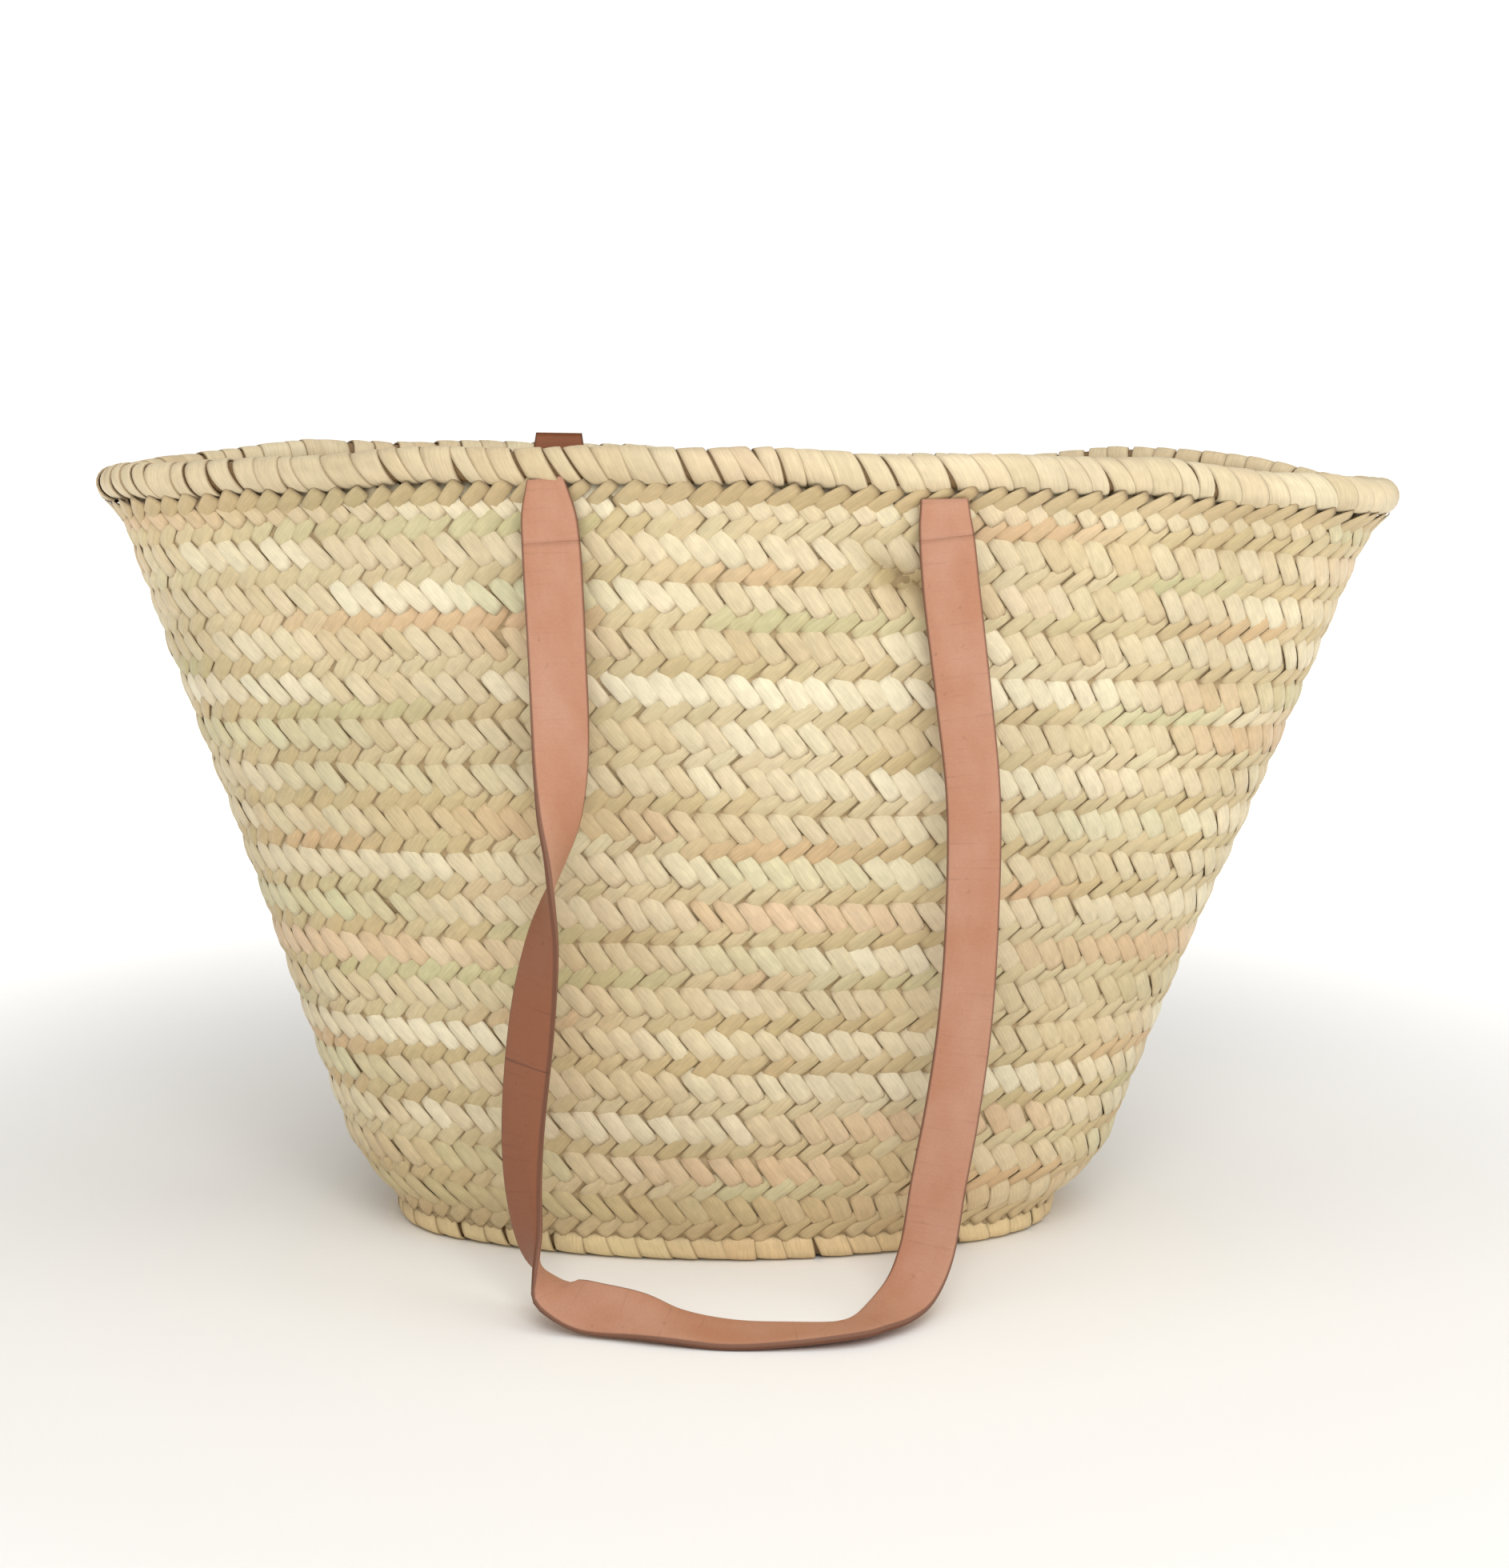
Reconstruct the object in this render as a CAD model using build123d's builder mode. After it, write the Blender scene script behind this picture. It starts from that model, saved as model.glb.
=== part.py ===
from build123d import *
import os

os.makedirs("parts", exist_ok=True)

# Oval market basket, plaited in palm leaf, with two long leather carrying straps.
# Millimetres, +Z up, standing on Z = 0. X runs along the mouth, -Y is the front,
# and the mouth's middle is on the Z axis.

# ---------------------------------------------------------------- driving dimensions
MOUTH_LENGTH = 506.0          # rim roll's centre line, end to end
MOUTH_WIDTH = 220.0           # rim roll's centre line, front to back
MOUTH_END_RADIUS = 62.0       # plan radius of the mouth's two ends
BASE_LENGTH = 278.0           # wall's middle line where the wall stands on the foot
BASE_WIDTH = 140.0
BASE_END_RADIUS = 60.0
BASE_SHIFT = -8.0             # the base's middle along X: the wall leans a little
RIM_END_HEIGHT = 294.0        # rim roll's centre above the ground at the two ends
RIM_ARCH = 12.0               # extra height of the roll at the middle of the long sides

WALL_THICKNESS = 4.0          # one layer of plait
WALL_TURNS = 17               # turns of the plait, foot to rim
FIRST_SPLICED_TURN = 12       # from here up a turn takes two lengths of plait, left and right
SEAM_CORD = 1.6               # width of the sewing cord between two turns
SEAM_GAP = 1.2                # height of the cord, and of the groove between two turns

FOOT_HEIGHT = 11.0
FOOT_WIDTH = 12.0
FOOT_INSET = 5.0              # foot's middle line inside the wall's middle line
FOOT_ROUNDING = 3.5
FOOT_BINDING = 1.5            # leaf wrapped round the foot's core

BASE_STRIP = 17.0             # width of the straight strip that the base starts from
BASE_TURNS = 3
BASE_THICKNESS = 4.0

RIM_RADIUS = 7.0
RIM_BINDING = 1.5             # leaf wrapped round the rim's core

STRAP_WIDTH = 22.0
STRAP_THICKNESS = 3.0
STRAP_SPACING = 136.0         # between the middles of one strap's two legs
SLIT_BELOW_RIM = 14.0         # slit's middle under the roll's centre
SLIT_CLEARANCE = 0.5
STRAP_GAP = 0.4               # free space round each bend of a strap
NECK_LENGTH = 26.0            # from the slit to the bend that clears the rim roll
STRAP_BEND = 14.0             # radius where a leg turns onto the ground
STRAP_REACH = 46.0            # how far the loop lies out in front of its legs
GROUND_GAP = 0.4
TAIL_DEPTH = 30.0             # tail below the slit, inside
TALL_TAIL_RISE = 4.5          # the front strap's left tail stands this far above the rim
SHORT_TAIL_DROP = 10.0        # the other tails stop this far below the roll's centre
TAIL_CLEARANCE = 0.5

THREAD = 1.2                  # waxed thread's diameter
STITCH_SPACING = 10.0
STITCH_DROP = 20.0            # stitches below the slit


# ---------------------------------------------------------------- the wall's form
rim_mid_height = RIM_END_HEIGHT + RIM_ARCH
wall_rise_ends = RIM_END_HEIGHT - FOOT_HEIGHT
wall_rise_sides = rim_mid_height - FOOT_HEIGHT


def half_length(z):
    """Half the length of the wall's middle line at height z."""
    return BASE_LENGTH / 2 + (MOUTH_LENGTH - BASE_LENGTH) / 2 * (z - FOOT_HEIGHT) / wall_rise_ends


def half_width(z):
    """Half the width of the wall's middle line at height z."""
    return BASE_WIDTH / 2 + (MOUTH_WIDTH - BASE_WIDTH) / 2 * (z - FOOT_HEIGHT) / wall_rise_sides


def end_radius(z):
    """Plan radius of the wall's ends at height z."""
    return BASE_END_RADIUS + (MOUTH_END_RADIUS - BASE_END_RADIUS) * (z - FOOT_HEIGHT) / wall_rise_ends


def middle_x(z):
    """X of the oval's middle at height z."""
    return BASE_SHIFT * (1 - (z - FOOT_HEIGHT) / wall_rise_ends)


def side_radius(a, b, r):
    """Radius of an oval's long sides: tangent arcs, half length a, half width b, end radius r."""
    return (a**2 + b**2 - 2 * a * r) / (2 * (b - r))


def oval_joint(a, b, r):
    """Where an oval's side arc meets its end arc, in the first quadrant."""
    side = side_radius(a, b, r)
    share = side / (side - r)
    return share * (a - r), share * (side - b) - (side - b)


def oval(a, b, r, middle=0.0, mode=Mode.ADD):
    """Oval face of four tangent arcs in the sketch that is being built."""
    x, y = oval_joint(a, b, r)
    with BuildLine() as outline:
        ThreePointArc((middle - x, y), (middle, b), (middle + x, y))
        ThreePointArc((middle + x, y), (middle + a, 0), (middle + x, -y))
        ThreePointArc((middle + x, -y), (middle, -b), (middle - x, -y))
        ThreePointArc((middle - x, -y), (middle - a, 0), (middle - x, y))
    make_face(outline.edges(), mode=mode)


def wall_oval(z, grow):
    """The wall's middle oval at height z, made larger all round by grow."""
    oval(half_length(z) + grow, half_width(z) + grow, end_radius(z) + grow, middle_x(z))


def side_y(x, z, grow=0.0):
    """Distance of the wall's long side from the XZ plane, at x and height z."""
    side = side_radius(half_length(z), half_width(z), end_radius(z)) + grow
    return (side**2 - (x - middle_x(z)) ** 2) ** 0.5 - side + half_width(z) + grow


def seam_height(turn, x=None):
    """Height of the seam above a number of turns: at the ends, or over the side at x."""
    share = turn / WALL_TURNS
    end_height = FOOT_HEIGHT + share * (wall_rise_ends - RIM_RADIUS)
    if x is None:
        return end_height
    from_middle = (x - middle_x(end_height)) / half_length(end_height)
    return end_height + RIM_ARCH * share * (1 - from_middle**2)


def seam_line(turn, lift, reach):
    """The seam's arch seen from the front, between -reach and +reach of its middle."""
    middle = middle_x(seam_height(turn))
    start = (middle - reach, seam_height(turn, middle - reach) + lift)
    top = (middle, seam_height(turn, middle) + lift)
    end = (middle + reach, seam_height(turn, middle + reach) + lift)
    if turn == 0:
        return Line(start, end)
    return ThreePointArc(start, top, end)


def arched_band(low_turn, low_lift, high_turn, high_lift):
    """Solid between two seams, as wide as the basket and more."""
    reach = MOUTH_LENGTH / 2 + 2 * RIM_RADIUS
    with BuildPart() as band:
        with BuildSketch(Plane.XZ):
            with BuildLine():
                low = seam_line(low_turn, low_lift, reach)
                high = seam_line(high_turn, high_lift, reach)
                Line(low @ 0, high @ 0)
                Line(low @ 1, high @ 1)
            make_face()
        extrude(amount=MOUTH_WIDTH, both=True)
    return band.part


def wall_layer(inside, outside):
    """The whole wall between two layers, given from its middle, foot to above the rim."""
    with BuildPart() as layer:
        with BuildSketch(Plane.XY.offset(FOOT_HEIGHT)):
            wall_oval(FOOT_HEIGHT, outside)
        with BuildSketch(Plane.XY.offset(rim_mid_height)):
            wall_oval(rim_mid_height, outside)
        loft(ruled=True)
        with BuildSketch(Plane.XY.offset(FOOT_HEIGHT)):
            wall_oval(FOOT_HEIGHT, inside)
        with BuildSketch(Plane.XY.offset(rim_mid_height)):
            wall_oval(rim_mid_height, inside)
        loft(ruled=True, mode=Mode.SUBTRACT)
    return layer.part


def finish(piece, name):
    """Name a finished piece and write it."""
    piece.part.label = name
    export_step(piece.part, f"parts/{name}.step")


# ---------------------------------------------------------------- foot
# A roll of leaf bundles round the base's edge, bound with leaf. The basket stands on it.
foot_a = half_length(FOOT_HEIGHT) - FOOT_INSET
foot_b = half_width(FOOT_HEIGHT) - FOOT_INSET
foot_r = end_radius(FOOT_HEIGHT) - FOOT_INSET


def foot_ring(half_section):
    """Ring between two ovals on each side of the foot's middle line."""
    for grow, mode in ((half_section, Mode.ADD), (-half_section, Mode.SUBTRACT)):
        oval(foot_a + grow, foot_b + grow, foot_r + grow, BASE_SHIFT, mode)


with BuildPart() as foot_core:
    with BuildSketch(Plane.XY.offset(FOOT_BINDING)):
        foot_ring(FOOT_WIDTH / 2 - FOOT_BINDING)
    extrude(amount=FOOT_HEIGHT - 2 * FOOT_BINDING)
    fillet(foot_core.edges().filter_by(GeomType.CIRCLE), FOOT_ROUNDING - FOOT_BINDING)
finish(foot_core, "foot_core")

with BuildPart() as foot_binding:
    with BuildSketch():
        foot_ring(FOOT_WIDTH / 2)
    extrude(amount=FOOT_HEIGHT)
    fillet(foot_binding.edges().filter_by(GeomType.CIRCLE), FOOT_ROUNDING)
    add(foot_core.part, mode=Mode.SUBTRACT)
finish(foot_binding, "foot_binding")

# ---------------------------------------------------------------- base
# A straight strip of plait with more plait wound and sewn round it, inside the foot.
base_bottom = FOOT_HEIGHT - BASE_THICKNESS
base_a = foot_a - FOOT_WIDTH / 2
base_b = foot_b - FOOT_WIDTH / 2
base_r = foot_r - FOOT_WIDTH / 2
base_turn_width = (base_b - BASE_STRIP / 2) / BASE_TURNS


def base_slot(turn, grow=0.0, mode=Mode.ADD):
    """Outline of the strip with a number of turns wound round it."""
    inset = (BASE_TURNS - turn) * base_turn_width - grow
    with Locations((BASE_SHIFT, 0)):
        SlotOverall(2 * (base_a - inset), 2 * (base_b - inset), mode=mode)


with BuildPart() as base_seam_cord:
    for turn in reversed(range(BASE_TURNS)):
        with BuildSketch(Plane.XY.offset(base_bottom + (BASE_THICKNESS - SEAM_CORD) / 2)):
            base_slot(turn, SEAM_GAP / 2)
            base_slot(turn, -SEAM_GAP / 2, Mode.SUBTRACT)
        extrude(amount=SEAM_CORD)
finish(base_seam_cord, "base_seam_cord")

with BuildPart() as base_centre_strip:
    with BuildSketch(Plane.XY.offset(base_bottom)):
        base_slot(0, -SEAM_GAP / 2)
    extrude(amount=BASE_THICKNESS)
finish(base_centre_strip, "base_centre_strip")

for turn in range(1, BASE_TURNS + 1):
    with BuildPart() as base_turn:
        with BuildSketch(Plane.XY.offset(base_bottom)):
            if turn == BASE_TURNS:
                oval(base_a, base_b, base_r, BASE_SHIFT)
            else:
                base_slot(turn, -SEAM_GAP / 2)
            base_slot(turn - 1, SEAM_GAP / 2, Mode.SUBTRACT)
        extrude(amount=BASE_THICKNESS)
    finish(base_turn, f"base_turn_{turn}")

# ---------------------------------------------------------------- where the straps go
slit_height = seam_height(WALL_TURNS, STRAP_SPACING / 2) + RIM_RADIUS - SLIT_BELOW_RIM
leg_inner_edge = (STRAP_SPACING - STRAP_WIDTH) / 2
tongue_end = side_y(leg_inner_edge, slit_height, WALL_THICKNESS / 2) + STRAP_GAP
hinge_y = tongue_end + STRAP_GAP + STRAP_THICKNESS / 2
slit_length = STRAP_WIDTH + 2 * SLIT_CLEARANCE
slit_opening = STRAP_THICKNESS + 2 * SLIT_CLEARANCE

# ---------------------------------------------------------------- wall
# One long plait wound round and round, each turn sewn to the last by a hidden cord.
wall = wall_layer(-WALL_THICKNESS / 2, WALL_THICKNESS / 2)
cord_layer = wall_layer(-SEAM_CORD / 2, SEAM_CORD / 2)

seam_cords = [
    cord_layer & arched_band(seam, -SEAM_GAP / 2, seam, SEAM_GAP / 2)
    for seam in range(1, WALL_TURNS)
]

with BuildPart() as wall_seam_cord:
    add(seam_cords)
finish(wall_seam_cord, "wall_seam_cord")

for turn in range(1, WALL_TURNS + 1):
    above = 0 if turn == 1 else SEAM_GAP / 2
    below = 0 if turn == WALL_TURNS else SEAM_GAP / 2
    band = arched_band(turn - 1, above, turn, -below)
    with BuildPart() as wall_turn:
        add(wall)
        add(band, mode=Mode.INTERSECT)
        if turn == WALL_TURNS:
            for x in (-STRAP_SPACING / 2, STRAP_SPACING / 2):
                with Locations((x, 0, slit_height)):
                    Box(slit_length, MOUTH_WIDTH, slit_opening, mode=Mode.SUBTRACT)
    if turn < FIRST_SPLICED_TURN:
        finish(wall_turn, f"wall_turn_{turn:02d}")
        continue
    for side, keep in (("left", Keep.BOTTOM), ("right", Keep.TOP)):
        with BuildPart() as wall_half:
            add(wall_turn.part)
            split(bisect_by=Plane.YZ, keep=keep)
        finish(wall_half, f"wall_turn_{turn:02d}_{side}")

# ---------------------------------------------------------------- rim
# A round bundle of leaf on the wall's top edge, bound with leaf that is sewn through it.
rim_x, rim_y = oval_joint(MOUTH_LENGTH / 2, MOUTH_WIDTH / 2, MOUTH_END_RADIUS)
rim_joint_z = seam_height(WALL_TURNS, rim_x) + RIM_RADIUS

with BuildLine() as rim_half:
    front = ThreePointArc((-rim_x, -rim_y, rim_joint_z), (0, -MOUTH_WIDTH / 2, rim_mid_height),
                          (rim_x, -rim_y, rim_joint_z), mode=Mode.PRIVATE)
    back = ThreePointArc((rim_x, rim_y, rim_joint_z), (0, MOUTH_WIDTH / 2, rim_mid_height),
                         (-rim_x, rim_y, rim_joint_z), mode=Mode.PRIVATE)
    ThreePointArc(front @ 0.5, front @ 0.75, front @ 1)
    ThreePointArc(front @ 1, (MOUTH_LENGTH / 2, 0, RIM_END_HEIGHT), back @ 0)
    ThreePointArc(back @ 0, back @ 0.25, back @ 0.5)

with BuildPart() as rim_core:
    with BuildSketch(Plane(origin=front @ 0.5, z_dir=(1, 0, 0))):
        Circle(RIM_RADIUS - RIM_BINDING)
    sweep(path=rim_half.wire())
    mirror(about=Plane.YZ)
finish(rim_core, "rim_core")

with BuildPart() as rim_binding:
    with BuildSketch(Plane(origin=front @ 0.5, z_dir=(1, 0, 0))):
        Circle(RIM_RADIUS)
        Circle(RIM_RADIUS - RIM_BINDING, mode=Mode.SUBTRACT)
    sweep(path=rim_half.wire())
    mirror(about=Plane.YZ)
finish(rim_binding, "rim_binding")

# ---------------------------------------------------------------- straps
# Each strap is one flat leather thong: a tail inside the basket, a neck through each
# slit, and the long loop, which hangs outside with its slack lying on the ground.
leg_places = {"left": -STRAP_SPACING / 2, "right": STRAP_SPACING / 2}
bend_height = slit_height - NECK_LENGTH
loop_top = bend_height - STRAP_THICKNESS / 2 - STRAP_GAP
ground_line = GROUND_GAP + STRAP_THICKNESS / 2
loop_front = hinge_y + STRAP_REACH

with BuildPart() as front_strap_necks:
    for x in leg_places.values():
        with BuildSketch(Plane.YZ.offset(x)):
            with Locations((-hinge_y, (slit_height + bend_height) / 2)):
                SlotCenterToCenter(NECK_LENGTH, STRAP_THICKNESS, rotation=90)
        extrude(amount=STRAP_WIDTH / 2, both=True)

with BuildPart() as front_strap_loop:
    for x in leg_places.values():
        with BuildSketch(Plane.YZ.offset(x)):
            with BuildLine():
                leg = Line((-hinge_y, loop_top), (-hinge_y, ground_line + STRAP_BEND))
                turn_out = TangentArc(leg @ 1, (-hinge_y - STRAP_BEND, ground_line), tangent=leg % 1)
                Line(turn_out @ 1, (-loop_front + STRAP_WIDTH / 2, ground_line))
            trace(line_width=STRAP_THICKNESS)
        extrude(amount=STRAP_WIDTH / 2, both=True)
    with BuildSketch(Plane.XY.offset(GROUND_GAP)):
        with Locations((0, -loop_front + STRAP_WIDTH / 2)):
            Rectangle(STRAP_SPACING + STRAP_WIDTH, STRAP_WIDTH)
    extrude(amount=STRAP_THICKNESS)
    fillet(front_strap_loop.edges().filter_by(Axis.Z).group_by(Axis.Y)[0], STRAP_WIDTH / 2)

# ---------------------------------------------------------------- strap tails, stitches
# Inside, each thong ends in a flat tail that is stitched to the wall with waxed thread.
tail_bottom = slit_height - TAIL_DEPTH
leg_outer_edge = (STRAP_SPACING + STRAP_WIDTH) / 2
tail_face = min(
    side_y(leg_outer_edge, tail_bottom, -WALL_THICKNESS / 2),
    side_y(leg_outer_edge, rim_mid_height) - RIM_RADIUS,
) - TAIL_CLEARANCE
tall_top = rim_mid_height + RIM_RADIUS + TALL_TAIL_RISE
short_top = rim_mid_height - SHORT_TAIL_DROP
stitch_height = slit_height - STITCH_DROP


def front_tail(x, top):
    """Tail at x, from under the slit up to top, with its tongue through the slit."""
    with BuildPart() as tail:
        with BuildSketch(Plane.YZ.offset(x)):
            with Locations((-tail_face, tail_bottom)):
                Rectangle(STRAP_THICKNESS, top - tail_bottom, align=(Align.MIN, Align.MIN))
            with Locations((-tongue_end, slit_height)):
                Rectangle(tongue_end - tail_face, STRAP_THICKNESS, align=(Align.MIN, Align.CENTER))
        extrude(amount=STRAP_WIDTH / 2, both=True)
    return tail


with BuildPart() as front_stitches:
    outer_wall = side_y(leg_inner_edge, stitch_height, WALL_THICKNESS / 2)
    inner_tail = tail_face - STRAP_THICKNESS
    for x in leg_places.values():
        with BuildSketch(Plane.XZ.offset(inner_tail)):
            with Locations((x, stitch_height)):
                with GridLocations(STITCH_SPACING, 0, 2, 1):
                    Circle(THREAD / 2)
        extrude(amount=outer_wall - inner_tail)
        for y in (inner_tail - THREAD / 2, outer_wall + THREAD / 2):
            with Locations((x, -y, stitch_height)):
                Box(STITCH_SPACING + THREAD, THREAD, THREAD)


def finish_back(piece, name):
    """Write the back's copy of a front piece: the same piece turned half round."""
    with BuildPart() as back:
        add(piece.part.rotate(Axis.Z, 180))
    finish(back, name)


for piece, name in ((front_strap_necks, "strap_necks"), (front_strap_loop, "strap_loop"),
                    (front_stitches, "tail_stitches")):
    finish(piece, f"front_{name}")
    finish_back(piece, f"back_{name}")

left_short = front_tail(leg_places["left"], short_top)
right_short = front_tail(leg_places["right"], short_top)
finish(front_tail(leg_places["left"], tall_top), "front_left_tail")
finish(right_short, "front_right_tail")
finish_back(right_short, "back_left_tail")
finish_back(left_short, "back_right_tail")
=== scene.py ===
import math

import bpy
import numpy as np
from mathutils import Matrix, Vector


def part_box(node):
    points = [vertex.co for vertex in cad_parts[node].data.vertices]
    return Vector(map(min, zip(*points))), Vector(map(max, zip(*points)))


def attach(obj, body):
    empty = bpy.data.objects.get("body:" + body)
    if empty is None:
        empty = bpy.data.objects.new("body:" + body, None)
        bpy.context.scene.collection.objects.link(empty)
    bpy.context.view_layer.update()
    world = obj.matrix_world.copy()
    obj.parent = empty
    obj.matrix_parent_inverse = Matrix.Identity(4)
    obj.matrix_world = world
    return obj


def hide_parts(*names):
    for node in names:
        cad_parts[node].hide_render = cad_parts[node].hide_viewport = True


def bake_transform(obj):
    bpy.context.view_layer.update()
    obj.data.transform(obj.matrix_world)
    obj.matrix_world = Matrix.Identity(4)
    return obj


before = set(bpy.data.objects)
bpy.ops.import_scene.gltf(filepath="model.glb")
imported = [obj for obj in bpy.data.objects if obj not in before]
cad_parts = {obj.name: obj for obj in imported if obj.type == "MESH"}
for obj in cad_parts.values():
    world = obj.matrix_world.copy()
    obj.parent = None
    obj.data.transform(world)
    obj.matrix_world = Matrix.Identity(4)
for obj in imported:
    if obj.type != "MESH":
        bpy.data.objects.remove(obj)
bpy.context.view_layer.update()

# --------------------
# Studio: a plain pale floor under soft, even light from above and in front.
# The camera stands near the basket, a little higher than its rim.
# --------------------
FLOOR_SIZE = 14.0
FLOOR_FADE_START, FLOOR_FADE_END = 0.30, 1.1  # the paper fades to white at this distance
FLOOR_GLOW = 0.9
floor_mesh = bpy.data.meshes.new("studio_floor")
half_floor = FLOOR_SIZE / 2
floor_mesh.from_pydata(
    [(x * half_floor, y * half_floor, 0.0) for x, y in ((-1, -1), (1, -1), (1, 1), (-1, 1))],
    [], [(0, 1, 2, 3)])
studio_floor = bpy.data.objects.new("studio_floor", floor_mesh)
bpy.context.collection.objects.link(studio_floor)
floor_paper = bpy.data.materials.new("floor_paper")
floor_paper.use_nodes = True
tree = floor_paper.node_tree
paper = tree.nodes["Principled BSDF"]
paper.inputs["Base Color"].default_value = (0.93, 0.925, 0.915, 1)
paper.inputs["Roughness"].default_value = 0.9
paper.inputs["Emission Color"].default_value = (1, 1, 1, 1)
spot = tree.nodes.new("ShaderNodeTexCoord")
distance = tree.nodes.new("ShaderNodeVectorMath")
distance.operation = "LENGTH"
fade = tree.nodes.new("ShaderNodeMapRange")
fade.interpolation_type = "SMOOTHSTEP"
fade.inputs["From Min"].default_value = FLOOR_FADE_START
fade.inputs["From Max"].default_value = FLOOR_FADE_END
fade.inputs["To Max"].default_value = FLOOR_GLOW
tree.links.new(spot.outputs["Object"], distance.inputs[0])
tree.links.new(distance.outputs["Value"], fade.inputs["Value"])
tree.links.new(fade.outputs["Result"], paper.inputs["Emission Strength"])
floor_mesh.materials.append(floor_paper)


def soft_lamp(name, place, aim, size, watts, colour=(1, 1, 1)):
    """A square softbox at place, turned to face aim."""
    lamp = bpy.data.lights.new(name, "AREA")
    lamp.size = size
    lamp.energy = watts
    lamp.color = colour
    stand = bpy.data.objects.new(name, lamp)
    stand.location = place
    stand.rotation_euler = (Vector(aim) - Vector(place)).to_track_quat("-Z", "Y").to_euler()
    bpy.context.collection.objects.link(stand)


soft_lamp("front_softbox", (0.25, -2.0, 1.8), (0.0, 0, 0.15), 1.4, 27, (1.0, 0.985, 0.95))
soft_lamp("top_softbox", (0.3, -0.4, 2.3), (0, 0, 0.2), 1.8, 15)
soft_lamp("side_softbox", (2.0, -0.9, 1.1), (0, 0, 0.15), 1.2, 5, (1.0, 0.985, 0.96))

AIR_LIGHT, AIR_SEEN = 0.50, 1.06  # how strongly the air lights the basket, and how bright it looks
sky = bpy.data.worlds.new("studio_air")
sky.use_nodes = True
air = sky.node_tree.nodes["Background"]
air.inputs["Color"].default_value = (1.0, 0.988, 0.965, 1)
seen = sky.node_tree.nodes.new("ShaderNodeLightPath")
strength = sky.node_tree.nodes.new("ShaderNodeMapRange")
strength.inputs["To Min"].default_value = AIR_LIGHT
strength.inputs["To Max"].default_value = AIR_SEEN
sky.node_tree.links.new(seen.outputs["Is Camera Ray"], strength.inputs["Value"])
sky.node_tree.links.new(strength.outputs["Result"], air.inputs["Strength"])
bpy.context.scene.world = sky
bpy.context.scene.view_settings.view_transform = "Standard"

CAMERA_PLACE = (0.0025, -0.950, 0.320)
CAMERA_DIP = 8.6  # degrees below level
camera_lens = bpy.data.cameras.new("camera")
camera_lens.sensor_fit = "VERTICAL"
camera_lens.sensor_height = 36.0
camera_lens.lens = 54.6
camera = bpy.data.objects.new("camera", camera_lens)
camera.location = CAMERA_PLACE
camera.rotation_euler = (math.radians(90 - CAMERA_DIP), 0, 0)
bpy.context.collection.objects.link(camera)
bpy.context.scene.camera = camera


# --------------------
# Wall: one long plait of dried palm leaf, 17 mm wide, wound in 17 turns from
# the foot to the rim. Each turn is a 2/2 twill of flat leaf strips that turn
# back at the plait's edges, so it shows as chevrons outside and inside.
# --------------------
WALL_TURNS = 17
FIRST_SPLICED_TURN = 12
ROLL_RADIUS = 0.007
MOUTH_END_RADIUS = 0.062
BASE_END_RADIUS = 0.052
WALL_INSIDE_FOOT = 0.001  # wall's middle, in from the foot's outer face
BASE_DRAWN_IN = 0.003  # each end of the wall's foot is drawn in
BASE_SHIFT = 0.0015  # and the foot stands a little towards -X
BELLY_LONG, BELLY_DEEP = 0.0097, 0.0040  # how far the wall swells out low down
BELLY_SHIFT = 0.0019  # the swell is larger at the +X end
CURL_START, CURL_REACH = 0.012, 0.085  # share of the wall in which it curls out of the foot
WANDER = ((0.0016, 3, 0, 0.8), (0.0010, 5, 7, 2.0))  # height, waves round, climb, start
DENT_X, DENT_Z = 0.053, 0.268  # the wall is pushed in beside the right leg
DENT_WIDE, DENT_HIGH, DENT_DEPTH = 0.013, 0.0055, 0.0085

rim_low, rim_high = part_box("rim_binding")
foot_low, foot_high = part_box("foot_binding")
MOUTH_PINCH = 0.004  # each end of the mouth is drawn in a little
mouth_a = (rim_high.x - rim_low.x) / 2 - ROLL_RADIUS - MOUTH_PINCH
mouth_b = (rim_high.y - rim_low.y) / 2 - ROLL_RADIUS
rim_mid_z = rim_high.z - ROLL_RADIUS
rim_end_z = rim_low.z + ROLL_RADIUS
rim_arch = rim_mid_z - rim_end_z
foot_top = foot_high.z
base_x = (foot_low.x + foot_high.x) / 2 - BASE_SHIFT
base_a = (foot_high.x - foot_low.x) / 2 - WALL_INSIDE_FOOT - BASE_DRAWN_IN
base_b = (foot_high.y - foot_low.y) / 2 - WALL_INSIDE_FOOT


def oval(part, a, b, r):
    """Points on ovals of four tangent arcs, by their share of the way round from the front's middle
    towards +X, and the length of the way round."""
    side = (a**2 + b**2 - 2 * a * r) / (2 * (b - r))
    turn = np.arctan2(a - r, side - b)
    side_arc = side * turn
    end_arc = r * (math.pi / 2 - turn)
    whole = 4 * (side_arc + end_arc)
    way = (part % 1.0) * whole
    quarter = whole / 4
    number = np.floor(way / quarter).astype(int) % 4
    along = way - number * quarter
    along = np.where(number % 2 == 1, quarter - along, along)
    on_side = along < side_arc
    angle = np.where(on_side, along / side, turn + (along - side_arc) / r)
    x = np.where(on_side, side * np.sin(angle), a - r + r * np.sin(angle))
    y = np.where(on_side, side - b - side * np.cos(angle), -r * np.cos(angle))
    left = (number == 2) | (number == 3)
    back = (number == 1) | (number == 2)
    return np.where(left, -x, x), np.where(back, -y, y), whole


def hump(x, middle, reach):
    """A smooth bump of height 1 about a middle."""
    return np.exp(-(((x - middle) / reach) ** 2))


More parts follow.
